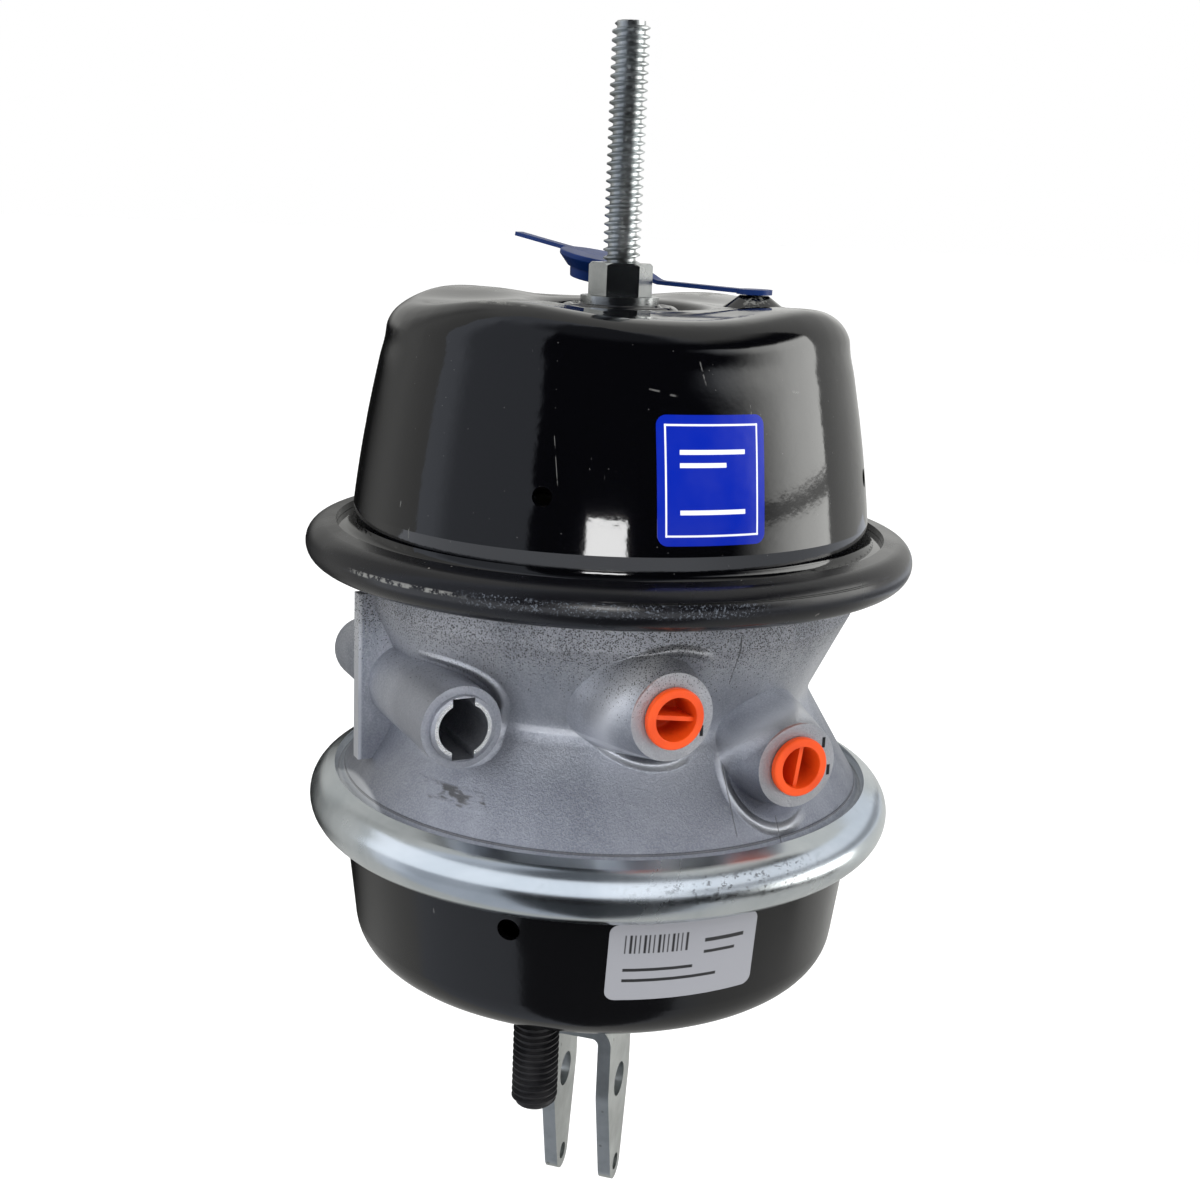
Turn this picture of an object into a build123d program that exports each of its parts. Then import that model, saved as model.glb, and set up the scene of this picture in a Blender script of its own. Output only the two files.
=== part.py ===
from build123d import *
import math
import os

# Double-diaphragm spring brake chamber, type 30/30, 63.5 mm stroke, shown caged.
# All sizes in mm. The chamber's axis is Z, z = 0 is the mounting face of the
# service housing, and +Z runs up to the release bolt's free end.

# ---- whole chamber -------------------------------------------------------------
RUN_GAP = 0.3           # free space between pieces that move past each other
SEAT_GAP = 0.1          # free space between pieces that are clamped together
SLIDE_FIT = 0.06        # radial clearance of a shaft that slides in its guide
SIDE_AZ = -63.7         # azimuth, in degrees, that the ports and storage tube face

# ---- service housing (pressed steel cup) -----------------------------------------
HOUSING_SHEET = 2.8
HOUSING_FLOOR_R = 86.6
HOUSING_CORNER = 15.0
HOUSING_TUCK = 3.7      # how far inside the clamp band's lips the wall's top lies
HOUSING_FLARE = 4.0     # bend radius where the wall flares into its flange
HOUSING_EDGE = 5.6      # bend radius of the flange's turned edge
ROD_HOLE_R = 14.0
VENT_R = 3.8
VENT_Z = 40.6
VENT_AZ = -107.0
VENT_COUNT = 4

# ---- mounting studs and their plate ----------------------------------------------
STUD_R = 7.9375
STUD_PCD = 120.65
STUD_AZ = -107.0
STUD_REACH = 37.0
STUD_TIP = 2.0
STUD_NECK_R = 8.3       # plain neck pressed into the floor
STUD_HEAD_AF = 22.2
STUD_HEAD = 6.4
STUD_HEAD_CHAMFER = 1.0
PLATE_SHEET = 3.0
PLATE_LENGTH = 139.0
PLATE_WIDTH = 44.0

# ---- service clamp band ------------------------------------------------------------
CLAMP_Z = 58.6
CLAMP_R = 104.8
CLAMP_ARC = 10.3        # outside radius of the band's section
CLAMP_SWEEP = 62.0      # half angle of the section's arc, before its straight lips
CLAMP_LIP = 8.7         # how far the lips reach in from the band's outside
CLAMP_SHEET = 2.8
CLAMP_LOW_EDGE = -24.0  # angle on the section where the housing's flange ends
CLAMP_HIGH_EDGE = 31.0  # angle on the section where the case's flange is widest
EAR_AZ = 78.0
EAR_GAP = 15.0
EAR_SHEET = 4.0
EAR_BOLT_OUT = 11.5     # bolt's axis outside the band
EAR_HALF = 10.0
EAR_ROUND = 8.0
EAR_ROOT = 2.2          # the ears start this far inside the band's outside
CLAMP_BOLT_R = 4.76
CLAMP_HEX_AF = 14.3
CLAMP_HEX = 6.0
CLAMP_HEX_CHAMFER = 0.8
CLAMP_BOLT_OVER = 7.0
CLAMP_NUT_TURN = 15.0

# ---- flange case (die-cast aluminium) ----------------------------------------------
CASE_LOW_Z = 59.4
CASE_HIGH_Z = 149.6
CASE_NECK = 2.2         # how far inside the clamp band's lips the lower cone starts
WAIST_R = 72.6
WAIST_Z = 102.6
CASE_TOP_IN = 19.4      # how far the upper wall lies inside the crimp ring
CASE_TOP_Z = 133.0
CASE_EDGE_GAP = 1.0     # room between the upper flange's edge and the crimp ring
CASE_EDGE_TURN = -45.0  # angle on the ring's section where that edge starts
LOW_BOWL_R = 87.8
LOW_FLOOR_R = 67.0
LOW_FLOOR_Z = 93.0
HIGH_BOWL_WALL = 2.9
HIGH_BOWL_TAPER = 1.5
HIGH_FLOOR_R = 66.5
HIGH_FLOOR_Z = 105.5
BOWL_CORNER = 5.0
HUB_R = 19.0
HUB_Z = 107.0
HUB_PASSAGE = 0.5       # room between the adapter rod and the bare casting
PORT_FACE = 95.0        # distance of each port's face from the axis
PORT_ACROSS = 23.0
SPRING_PORT_Z = 116.3
SERVICE_PORT_Z = 95.8
PORT_BOSS_R = 14.0
PORT_ROOT_R = 24.2
PORT_ROOT = 50.0        # the flare starts inside the casting's wall
PORT_BORE_R = 8.3
PORT_BORE_END = 58.0
TUBE_ACROSS = -75.0
TUBE_Z = 105.4
TUBE_MOUTH = 55.0
TUBE_LIP = 1.8
TUBE_LIP_R = 10.8
TUBE_FAIRING_R = 13.5
TUBE_R = 11.5
TUBE_END = 45.0
TUBE_BORE_R = 8.25
TUBE_BORE_END = 41.0
KEYWAY_WIDTH = 7.4
KEYWAY_R = 10.0
KEYWAY_END = 8.0
GUSSET_R = 92.0
GUSSET_SHEET = 5.0
GUSSET_ROOT = 12.0      # how far the web runs into the waist
GUSSET_LOW_Z = 79.0
GUSSET_HIGH_Z = 137.0

# ---- crimp ring ---------------------------------------------------------------------
CRIMP_Z = 150.6
CRIMP_R = 106.3
CRIMP_ARC = 6.8
CRIMP_SWEEP = 82.0
CRIMP_SHEET = 2.2
CRIMP_LOW_LIP = 15.8    # how far each lip reaches in from the ring's outside
CRIMP_HIGH_LIP = 10.3

# ---- spring head (pressed steel, lobed crown) ---------------------------------------
HEAD_SHEET = 3.0
HEAD_BASE_IN = 16.4     # how far the wall's foot lies inside the crimp ring
HEAD_BASE_Z = 164.0
HEAD_FOOT = 3.0         # bend radius between the wall and its flange
HEAD_LEAN = 0.117
HEAD_BARREL = 470.0     # radius of the wall's bulge, seen from the side
HEAD_CREST_Z = 233.9
HEAD_RIM = 12.0
LOBE_RISE = 3.4         # height of each lobe over the level between them
LOBE_SINK = 0.9         # how far that level lies below the washer's seat
LOBE_COUNT = 4
LOBE_AZ = -30.0
LOBE_FADE_R = 30.0      # the lobes die out at this radius
LOBE_FADE = 26.0        # and are full this much further out
SHOULDER_DROP = 14.0    # the plain wall ends this far below the rim
CROWN_STATIONS = (62.0, 54.0, 46.0, 39.0, 33.0, 29.0, 25.0, 21.0, 17.5)
GROOVE_R = 25.0
GROOVE_WIDTH = 7.0
GROOVE_DEPTH = 5.0
SEAT_R = 14.0
HEAD_HOLE_R = 10.0
HEAD_VENT_R = 3.1
HEAD_VENT_Z = 180.4
HEAD_VENT_AZ = -103.7
HEAD_RIM_IN = 6.3       # how far the flange's edge lies inside the crimp ring
ANCHOR_X = 45.1
ANCHOR_Y = -11.1
ANCHOR_LOW_Z = 235.0
ANCHOR_Z = 239.1
ANCHOR_BASE_R = 10.5
ANCHOR_TOP_R = 4.8
ANCHOR_HOLE_R = 2.8

# ---- diaphragms ------------------------------------------------------------------------
RUBBER = 3.0
BEAD_STEP = 1.2         # the bead's edge starts this far above the housing's bend
BEAD_ROOT = 0.25        # the skirt meets the bead at this share of the seat
SPRING_CROWN_R = 70.0
CROWN_CORNER = 8.0
BEAD_IN = 0.9           # how far inside the head's skin the skirt ends

# ---- push rod, its plate and clevis ------------------------------------------------------
PUSH_PLATE_R = 61.0
PUSH_PLATE_SHEET = 4.0
PUSH_PLATE_LIP = 8.0
PUSH_PLATE_FLARE = 1.5
PUSH_ROD_R = 7.95
WELD_R = 12.5
WELD = 4.5
CLEVIS_AZ = -16.0
CLEVIS_TOP_Z = -31.0
CLEVIS_GAP = 16.5
CLEVIS_SHEET = 5.0
CLEVIS_WIDTH = 28.5
CLEVIS_BEND = 7.5
PIN_HOLE_R = 6.5
PIN_Z = -58.5
LINK_HOLE_R = 3.2
LINK_Z = -94.1
CLEVIS_TIP_R = 6.6

# ---- power piston ---------------------------------------------------------------------------
ADAPTER_PLATE_Z = 171.0
ADAPTER_SHEET = 3.0
ADAPTER_PLATE_R = 52.0
ADAPTER_ROD_R = 11.0
PRESSURE_SHEET = 4.5
PRESSURE_R = 66.0
PRESSURE_LIP = 7.0
PRESSURE_LIP_SHEET = 3.0
SPRING_HUB_R = 17.5
SPRING_HUB_IN_R = 12.6
SPRING_HUB_TOP_Z = 205.0
LEDGE = 4.0
LEDGE_SLOT = 24.0
RELEASE_R = 6.35
RELEASE_LENGTH = 136.0
RELEASE_TOP_Z = 325.8
CROSS_PIN_R = 3.0
CROSS_PIN = 21.0
RELEASE_CHAMFER = 1.0

# ---- release nut and washer --------------------------------------------------------------------
WASHER_R = 13.5
WASHER = 2.6
WASHER_IN_R = 7.0
NUT_AF = 19.05
NUT = 11.1
NUT_TURN = 5.0
NUT_CHAMFER = 0.9

# ---- springs -----------------------------------------------------------------------------------
POWER_WIRE_R = 5.0
POWER_LOW_R = 57.0
POWER_HIGH_R = 43.0
POWER_TOP_Z = 226.8
POWER_TURNS = 3.5
RETURN_WIRE_R = 2.2
RETURN_LOW_R = 41.0
RETURN_HIGH_R = 24.0
RETURN_TURNS = 6.0
HELPER_WIRE_R = 0.95
HELPER_LOW_R = 38.0
HELPER_HIGH_R = 24.0
HELPER_TURNS = 5.0

# ---- centre guide --------------------------------------------------------------------------------
BUSH_R = 14.0
BUSH_Z = 99.5
SEAL_R = 13.8
SEAL_LOW_Z = 94.6
SEAL_HIGH_Z = 98.4

# ---- port plugs (moulded plastic) ------------------------------------------------------------------
PLUG_HEAD_R = 9.7
PLUG_HEAD = 2.6
PLUG_WALL = 2.2
PLUG_BODY = 12.0
PLUG_BAR = 1.4
PLUG_BAR_DROP = 2.0
PLUG_BAR_TURNS = (-8.0, 82.0, 40.0, 120.0)

# ---- dust plug on its strap ---------------------------------------------------------------------
DUST_X = -8.0
DUST_Y = 26.0
DUST_Z = 249.4
DUST_TILT = 10.3
DUST_R = 14.0
DUST_BODY_R = 9.6
DUST_HIGH = 9.0
DUST_WALL = 1.8
STRAP = 1.4
STRAP_WIDTH = 5.0
STRAP_BEND_OUT = 26.0   # distance from the dust plug's axis to the strap's bend
STRAP_LIE_Z = 241.9     # underside of the strap beside the release nut
TAB_REACH = 37.0
TAB_WIDTH = 4.4
TAB_RISE = 6.6
BUTTON_R = 6.0
BUTTON = 1.7
BUTTON_PEG_R = 2.4

# ---- places worked out from the sizes above ----------------------------------------------------
CLAMP_LIP_R = CLAMP_R - CLAMP_LIP
EAR_BOLT_R = CLAMP_R + EAR_BOLT_OUT
CASE_NECK_R = CLAMP_LIP_R - CASE_NECK
CASE_TOP_R = CRIMP_R - CASE_TOP_IN
HIGH_BOWL_R = CASE_TOP_R - HIGH_BOWL_WALL
CRIMP_LOW_R = CRIMP_R - CRIMP_LOW_LIP
CRIMP_HIGH_R = CRIMP_R - CRIMP_HIGH_LIP
HEAD_BASE_R = CRIMP_R - HEAD_BASE_IN
HEAD_RIM_R = CRIMP_R - HEAD_RIM_IN
BEAD_IN_R = HEAD_BASE_R - HEAD_SHEET - BEAD_IN
PLATE_TOP_Z = HOUSING_SHEET + PLATE_SHEET
SERVICE_CROWN_Z = LOW_FLOOR_Z - SEAT_GAP
PUSH_PLATE_TOP_Z = SERVICE_CROWN_Z - RUBBER - RUN_GAP
PUSH_PLATE_Z = PUSH_PLATE_TOP_Z - PUSH_PLATE_SHEET
SPRING_CROWN_Z = ADAPTER_PLATE_Z + ADAPTER_SHEET + RUN_GAP + RUBBER
PRESSURE_Z = SPRING_CROWN_Z + RUN_GAP
PRESSURE_TOP_Z = PRESSURE_Z + PRESSURE_SHEET
WASHER_Z = HEAD_CREST_Z
NUT_Z = WASHER_Z + WASHER + SEAT_GAP


# ---- helpers -------------------------------------------------------------------------------------
def polar(radius, azimuth, z=0.0):
    angle = math.radians(azimuth)
    return (radius * math.cos(angle), radius * math.sin(angle), z)


def facing(azimuth):
    """Level direction at an azimuth."""
    return Vector(*polar(1, azimuth))


def shifted(points, gap):
    """The parallel path that lies gap to the left of a path of (r, z) points."""
    ways = []
    for (r0, z0), (r1, z1) in zip(points, points[1:]):
        long = math.hypot(r1 - r0, z1 - z0)
        ways.append((-(z1 - z0) / long, (r1 - r0) / long))
    moved = []
    for k, (r, z) in enumerate(points):
        a = ways[max(k - 1, 0)]
        b = ways[min(k, len(ways) - 1)]
        scale = gap / (1 + a[0] * b[0] + a[1] * b[1])
        moved.append((r + (a[0] + b[0]) * scale, z + (a[1] + b[1]) * scale))
    return moved


def bend_sides(points):
    """+1 where the path turns left at an inner point, -1 where it turns right."""
    sides = []
    for a, b, c in zip(points, points[1:], points[2:]):
        cross = (b[0] - a[0]) * (c[1] - b[1]) - (b[1] - a[1]) * (c[0] - b[0])
        sides.append(1 if cross > 0 else -1)
    return sides


def sheet_outline(points, bends, sheet):
    """Closed outline of a bent sheet: the given side, and its parallel to the left."""
    other = shifted(points, sheet)
    inner = [max(bend - side * sheet, 0.3) for bend, side in zip(bends, bend_sides(points))]
    outline = list(points) + other[::-1]
    radii = [0, *bends, 0, 0, *inner[::-1], 0]
    return make_face(FilletPolyline(*outline, radius=radii, close=True))


def turned(face):
    """A solid of revolution about Z from a face drawn in (r, z)."""
    return revolve(Plane.XZ * face, Axis.Z)


def outline(points, radii=None):
    return make_face(FilletPolyline(*points, radius=radii or [0] * len(points), close=True))


def round_bar(radius, low, high, centre=(0, 0)):
    return Pos(centre[0], centre[1], low) * Cylinder(
        radius, high - low, align=(Align.CENTER, Align.CENTER, Align.MIN)
    )


def hexagon(across_flats, low, high, turn=0.0, chamfer_by=0.0):
    """A hexagonal bar along Z whose corners are chamfered at its top, as on a nut."""
    bar = extrude(RegularPolygon(across_flats / 2, 6, major_radius=False), high - low)
    if chamfer_by:
        corner = across_flats / math.sqrt(3)
        cone = Cone(corner + high - low - chamfer_by, corner - chamfer_by, high - low,
                    align=(Align.CENTER, Align.CENTER, Align.MIN))
        bar = bar & cone
    return Pos(0, 0, low) * Rot(0, 0, turn) * bar


def along(start, end, share):
    return (start[0] + (end[0] - start[0]) * share, start[1] + (end[1] - start[1]) * share)


def arc_point(centre_r, centre_z, radius, angle):
    a = math.radians(angle)
    return (centre_r + radius * math.cos(a), centre_z + radius * math.sin(a))


def coil(wire_r, low_r, high_r, low, high, turns):
    """A conical spring between two heights, wound from a wire of six-sided section."""
    rise = high - low - 2 * wire_r
    lean = math.degrees(math.atan2(high_r - low_r, rise))
    path = Helix(rise / turns, rise, low_r, center=(0, 0, low + wire_r), cone_angle=lean)
    section = Plane(path @ 0, z_dir=path % 0) * RegularPolygon(wire_r, 6)
    return sweep(section, path, is_frenet=True)


def lip_line(centre, arc, sweep, lip_r, sign):
    """Outside of a channel ring's straight lip, from the end of its arc to its edge."""
    end = arc_point(centre[0], centre[1], arc, sign * sweep)
    slope = sign / math.tan(math.radians(sweep))
    return [end, (lip_r, end[1] + (end[0] - lip_r) * slope)]


def channel_section(centre, arc, sweep, sheet, low_r, high_r):
    """Section of a rolled channel ring, open towards the axis: an arc and two lips."""
    low_end, low_edge = lip_line(centre, arc, sweep, low_r, -1)
    high_end, high_edge = lip_line(centre, arc, sweep, high_r, 1)
    low_in = shifted([low_edge, low_end], sheet)
    high_in = shifted([high_end, high_edge], sheet)
    edges = [
        Line(low_edge, low_end), ThreePointArc(low_end, (centre[0] + arc, centre[1]), high_end),
        Line(high_end, high_edge), Line(high_edge, high_in[1]), Line(high_in[1], high_in[0]),
        ThreePointArc(high_in[0], (centre[0] + arc - sheet, centre[1]), low_in[1]),
        Line(low_in[1], low_in[0]), Line(low_in[0], low_edge),
    ]
    return make_face(Curve(edges))


def on_line(a, b, r):
    """Point of the line through a and b at radius r."""
    return (r, a[1] + (b[1] - a[1]) * (r - a[0]) / (b[0] - a[0]))


# ---- service side ----------------------------------------------------------------------------------
def clamp_centre():
    return (CLAMP_R - CLAMP_ARC, CLAMP_Z)


def clamp_seat(angle):
    """Point just inside the clamp band's section, at an angle from its middle."""
    return arc_point(*clamp_centre(), CLAMP_ARC - CLAMP_SHEET - SEAT_GAP, angle)


def clamp_face(sign):
    """Flange face that seats under one of the band's lips, from the arc inwards."""
    line = lip_line(clamp_centre(), CLAMP_ARC, CLAMP_SWEEP, CLAMP_LIP_R, sign)
    return shifted(line, sign * (CLAMP_SHEET + SEAT_GAP))


def housing_path():
    seat, inner = clamp_face(-1)
    turn = on_line(seat, inner, CLAMP_LIP_R - HOUSING_TUCK)
    return [(ROD_HOLE_R, 0), (HOUSING_FLOOR_R, 0), turn, seat, clamp_seat(CLAMP_LOW_EDGE)]


def stud_places():
    return [polar(STUD_PCD / 2, STUD_AZ + 180 * k)[:2] for k in range(2)]


def service_housing():
    bends = [HOUSING_CORNER, HOUSING_FLARE, HOUSING_EDGE]
    cup = turned(sheet_outline(housing_path(), bends, HOUSING_SHEET))
    for place in stud_places():
        cup -= round_bar(STUD_NECK_R + SLIDE_FIT, -1, HOUSING_SHEET + 1, place)
    for k in range(VENT_COUNT):
        way = facing(VENT_AZ + 360 / VENT_COUNT * k)
        hole = Plane(way * HOUSING_FLOOR_R + Vector(0, 0, VENT_Z), z_dir=way)
        cup -= hole * Cylinder(VENT_R, 8 * HOUSING_SHEET)
    return cup


def stud_reinforcement_plate():
    plate = extrude(SlotOverall(PLATE_LENGTH, PLATE_WIDTH), PLATE_SHEET)
    plate = Pos(0, 0, HOUSING_SHEET) * Rot(0, 0, STUD_AZ) * plate
    plate -= round_bar(ROD_HOLE_R, 0, PLATE_TOP_Z + 1)
    for place in stud_places():
        plate -= round_bar(STUD_NECK_R + SLIDE_FIT, 0, PLATE_TOP_Z + 1, place)
    return plate


def mounting_studs():
    studs = []
    for place in stud_places():
        shank = turned(outline(
            [(0, -STUD_REACH), (STUD_R, -STUD_REACH), (STUD_R, 0), (STUD_NECK_R, 0),
             (STUD_NECK_R, PLATE_TOP_Z), (0, PLATE_TOP_Z)],
            [0, STUD_TIP, 0, 0, 0, 0],
        ))
        head = hexagon(STUD_HEAD_AF, PLATE_TOP_Z, PLATE_TOP_Z + STUD_HEAD, 0, STUD_HEAD_CHAMFER)
        studs.append(Pos(*place, 0) * (shank + head))
    return studs


def service_diaphragm():
    """Rubber cup pushed up into the flange case, with its bead between the flanges."""
    slope = [(LOW_FLOOR_R - SEAT_GAP * 2, SERVICE_CROWN_Z), (LOW_BOWL_R - SEAT_GAP * 2, CASE_LOW_Z)]
    inner = shifted([slope[1], slope[0], (0, SERVICE_CROWN_Z)], RUBBER)
    inside = shifted(housing_path(), HOUSING_SHEET + SEAT_GAP)
    rim_r = inside[3][0] - SEAT_GAP
    return turned(outline(
        [
            (0, SERVICE_CROWN_Z), slope[0], (slope[1][0], CASE_LOW_Z - SEAT_GAP),
            (rim_r, CASE_LOW_Z - SEAT_GAP), (rim_r, inside[3][1] + BEAD_STEP),
            along(inside[2], inside[3], BEAD_ROOT), inner[0],
            inner[1], (0, SERVICE_CROWN_Z - RUBBER),
        ],
        [0, CROWN_CORNER, 0, 0, 0.5, 0, 0, CROWN_CORNER - RUBBER, 0],
    ))


def at_ears(piece):
    return Pos(0, 0, CLAMP_Z) * Rot(0, 0, EAR_AZ - 90) * piece


def clamp_band():
    lips = (CLAMP_LIP_R, CLAMP_LIP_R)
    band = turned(channel_section(clamp_centre(), CLAMP_ARC, CLAMP_SWEEP, CLAMP_SHEET, *lips))
    gap = Pos(0, CLAMP_R, 0) * Box(EAR_GAP, 60, 60)
    band -= at_ears(gap)
    start = CLAMP_R - EAR_ROOT
    lug = Plane.YZ * outline(
        [
            (start, -EAR_HALF), (EAR_BOLT_R + EAR_HALF, -EAR_HALF),
            (EAR_BOLT_R + EAR_HALF, EAR_HALF), (start, EAR_HALF),
        ],
        [0, EAR_ROUND, EAR_ROUND, 0],
    )
    lug = extrude(lug, EAR_SHEET)
    bolt_hole = Pos(0, EAR_BOLT_R, 0) * Rot(0, 90, 0) * Cylinder(CLAMP_BOLT_R + RUN_GAP, 80)
    for side in (EAR_GAP / 2, -EAR_GAP / 2 - EAR_SHEET):
        band += at_ears(Pos(side, 0, 0) * lug)
    return band - at_ears(bolt_hole)


def clamp_bolt():
    """Hexagon bolt through both ears, lying along the tangent."""
    reach = EAR_GAP / 2 + EAR_SHEET
    shank = round_bar(CLAMP_BOLT_R, -reach, reach + CLAMP_HEX + CLAMP_BOLT_OVER)
    head = hexagon(CLAMP_HEX_AF, reach, reach + CLAMP_HEX, 0, CLAMP_HEX_CHAMFER)
    bolt = shank + Rot(180, 0, 0) * head
    return at_ears(Pos(0, EAR_BOLT_R, 0) * Rot(0, 90, 0) * bolt)


def clamp_nut():
    reach = EAR_GAP / 2 + EAR_SHEET
    nut = hexagon(CLAMP_HEX_AF, reach, reach + CLAMP_HEX, CLAMP_NUT_TURN, CLAMP_HEX_CHAMFER)
    nut -= round_bar(CLAMP_BOLT_R + SLIDE_FIT, reach - 1, reach + CLAMP_HEX + 1)
    return at_ears(Pos(0, EAR_BOLT_R, 0) * Rot(0, 90, 0) * nut)


# ---- flange case -----------------------------------------------------------------------------------
def side_on(piece):
    """Turn a feature drawn with its front towards -Y so that it faces SIDE_AZ."""
    return Rot(0, 0, SIDE_AZ + 90) * piece


def port_list():
    """(name, turn about Z, distance across, height) of each of the four ports."""
    ports = []
    for place, turn in (("front", 0), ("rear", 180)):
        ports.append((f"spring_port_plug_{place}", turn, -PORT_ACROSS, SPRING_PORT_Z))
        ports.append((f"service_port_plug_{place}", turn, PORT_ACROSS, SERVICE_PORT_Z))
    return ports


def outward(across, z, start):
    """Plane square to a side feature's axis, its normal pointing out along -Y."""
    return Plane((across, -start, z), x_dir=(1, 0, 0), z_dir=(0, -1, 0))


def low_align():
    return (Align.CENTER, Align.CENTER, Align.MIN)


def case_outside():
    """The casting's turned outside: two flanges joined by an hourglass wall."""
    seat, inner = clamp_face(1)
    widest = clamp_seat(CLAMP_HIGH_EDGE)
    lip_end, lip_in = crimp_face(-1, CRIMP_LOW_R)
    rim = arc_point(*crimp_centre(), CRIMP_ARC - CRIMP_SHEET - CASE_EDGE_GAP, CASE_EDGE_TURN)
    return turned(outline(
        [
            (0, CASE_LOW_Z), (widest[0], CASE_LOW_Z), widest, seat, on_line(seat, inner, CASE_NECK_R),
            (WAIST_R, WAIST_Z), (CASE_TOP_R, CASE_TOP_Z), (CASE_TOP_R, lip_in[1]),
            lip_end, rim, (rim[0], CASE_HIGH_Z), (0, CASE_HIGH_Z),
        ],
        [0, 1.0, 0.5, 0, 1.5, 9.0, 2.5, 1.5, 0, 0, 0.6, 0],
    ))


def case_cavities():
    low = outline(
        [(0, CASE_LOW_Z - 1), (LOW_BOWL_R, CASE_LOW_Z - 1), (LOW_BOWL_R, CASE_LOW_Z),
         (LOW_FLOOR_R, LOW_FLOOR_Z), (0, LOW_FLOOR_Z)],
        [0, 0, 0, BOWL_CORNER, 0],
    )
    high = outline(
        [(0, HIGH_FLOOR_Z), (HIGH_FLOOR_R, HIGH_FLOOR_Z), (HIGH_BOWL_R - HIGH_BOWL_TAPER, CASE_TOP_Z),
         (HIGH_BOWL_R, CASE_HIGH_Z + 1), (0, CASE_HIGH_Z + 1)],
        [0, BOWL_CORNER, 4, 0, 0],
    )
    return turned(low) + turned(high)


def port_boss(across, z):
    """Boss that flares from its face back into the wall."""
    return outward(across, z, PORT_ROOT) * Cone(
        PORT_ROOT_R, PORT_BOSS_R, PORT_FACE - PORT_ROOT, align=low_align()
    )


def storage_tube():
    """Tube beside the waist that stows the release bolt, closed by a dome at the rear."""
    fairing = outward(TUBE_ACROSS, TUBE_Z, -GUSSET_SHEET) * Cylinder(
        TUBE_FAIRING_R, TUBE_MOUTH - TUBE_LIP + GUSSET_SHEET, align=low_align()
    )
    lip = outward(TUBE_ACROSS, TUBE_Z, 0) * Cylinder(TUBE_LIP_R, TUBE_MOUTH, align=low_align())
    back = outward(TUBE_ACROSS, TUBE_Z, -TUBE_END) * Cylinder(TUBE_R, TUBE_END, align=low_align())
    dome = Pos(TUBE_ACROSS, TUBE_END, TUBE_Z) * Sphere(TUBE_R)
    return fairing + lip + back + dome


def storage_bore():
    bore = outward(TUBE_ACROSS, TUBE_Z, -TUBE_BORE_END) * Cylinder(
        TUBE_BORE_R, TUBE_BORE_END + TUBE_MOUTH + 1, align=low_align()
    )
    keyway = Pos(TUBE_ACROSS, -(TUBE_MOUTH + KEYWAY_END) / 2, TUBE_Z) * Box(
        KEYWAY_WIDTH, TUBE_MOUTH - KEYWAY_END + 2, 2 * KEYWAY_R
    )
    return bore + keyway


def gusset():
    """Web that fills the hourglass beside the tube, from flange to flange."""
    deep = GUSSET_R - WAIST_R + GUSSET_ROOT
    return Pos(-GUSSET_R + deep / 2, GUSSET_SHEET / 2, (GUSSET_LOW_Z + GUSSET_HIGH_Z) / 2) * Box(
        deep, GUSSET_SHEET, GUSSET_HIGH_Z - GUSSET_LOW_Z
    )


def flange_case():
    case = case_outside()
    for _, turn, across, z in port_list():
        case += Rot(0, 0, SIDE_AZ + 90 + turn) * port_boss(across, z)
    case += side_on(storage_tube() + gusset())
    case -= case_cavities()
    case += round_bar(HUB_R, HIGH_FLOOR_Z - 1, HUB_Z)
    case -= round_bar(ADAPTER_ROD_R + HUB_PASSAGE, LOW_FLOOR_Z - 1, HUB_Z + 1)
    case -= round_bar(BUSH_R, BUSH_Z, HUB_Z + 1) + round_bar(SEAL_R + SLIDE_FIT, SEAL_LOW_Z, SEAL_HIGH_Z)
    for _, turn, across, z in port_list():
        bore = outward(across, z, PORT_BORE_END) * Cylinder(
            PORT_BORE_R, PORT_FACE - PORT_BORE_END + 1, align=low_align()
        )
        case -= Rot(0, 0, SIDE_AZ + 90 + turn) * bore
    return case - side_on(storage_bore())


def rod_guide_bushing():
    return round_bar(BUSH_R, BUSH_Z, HUB_Z) - round_bar(ADAPTER_ROD_R + SLIDE_FIT, BUSH_Z - 1, HUB_Z + 1)


def rod_seal():
    ring = round_bar(SEAL_R, SEAL_LOW_Z, SEAL_HIGH_Z)
    return ring - round_bar(ADAPTER_ROD_R + SLIDE_FIT, SEAL_LOW_Z - 1, SEAL_HIGH_Z + 1)


# ---- crimp ring and spring head --------------------------------------------------------------------
def crimp_centre():
    return (CRIMP_R - CRIMP_ARC, CRIMP_Z)


def crimp_face(sign, lip_r):
    """Face that seats against the inside of one of the ring's lips, from the arc inwards."""
    line = lip_line(crimp_centre(), CRIMP_ARC, CRIMP_SWEEP, lip_r, sign)
    return shifted(line, sign * (CRIMP_SHEET + SEAT_GAP))


def crimp_ring():
    lips = (CRIMP_LOW_R, CRIMP_HIGH_R)
    return turned(channel_section(crimp_centre(), CRIMP_ARC, CRIMP_SWEEP, CRIMP_SHEET, *lips))


def ease(share):
    """0 to 1, with a smooth start and end."""
    share = min(1.0, max(0.0, share))
    return share * share * (3 - 2 * share)


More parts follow.
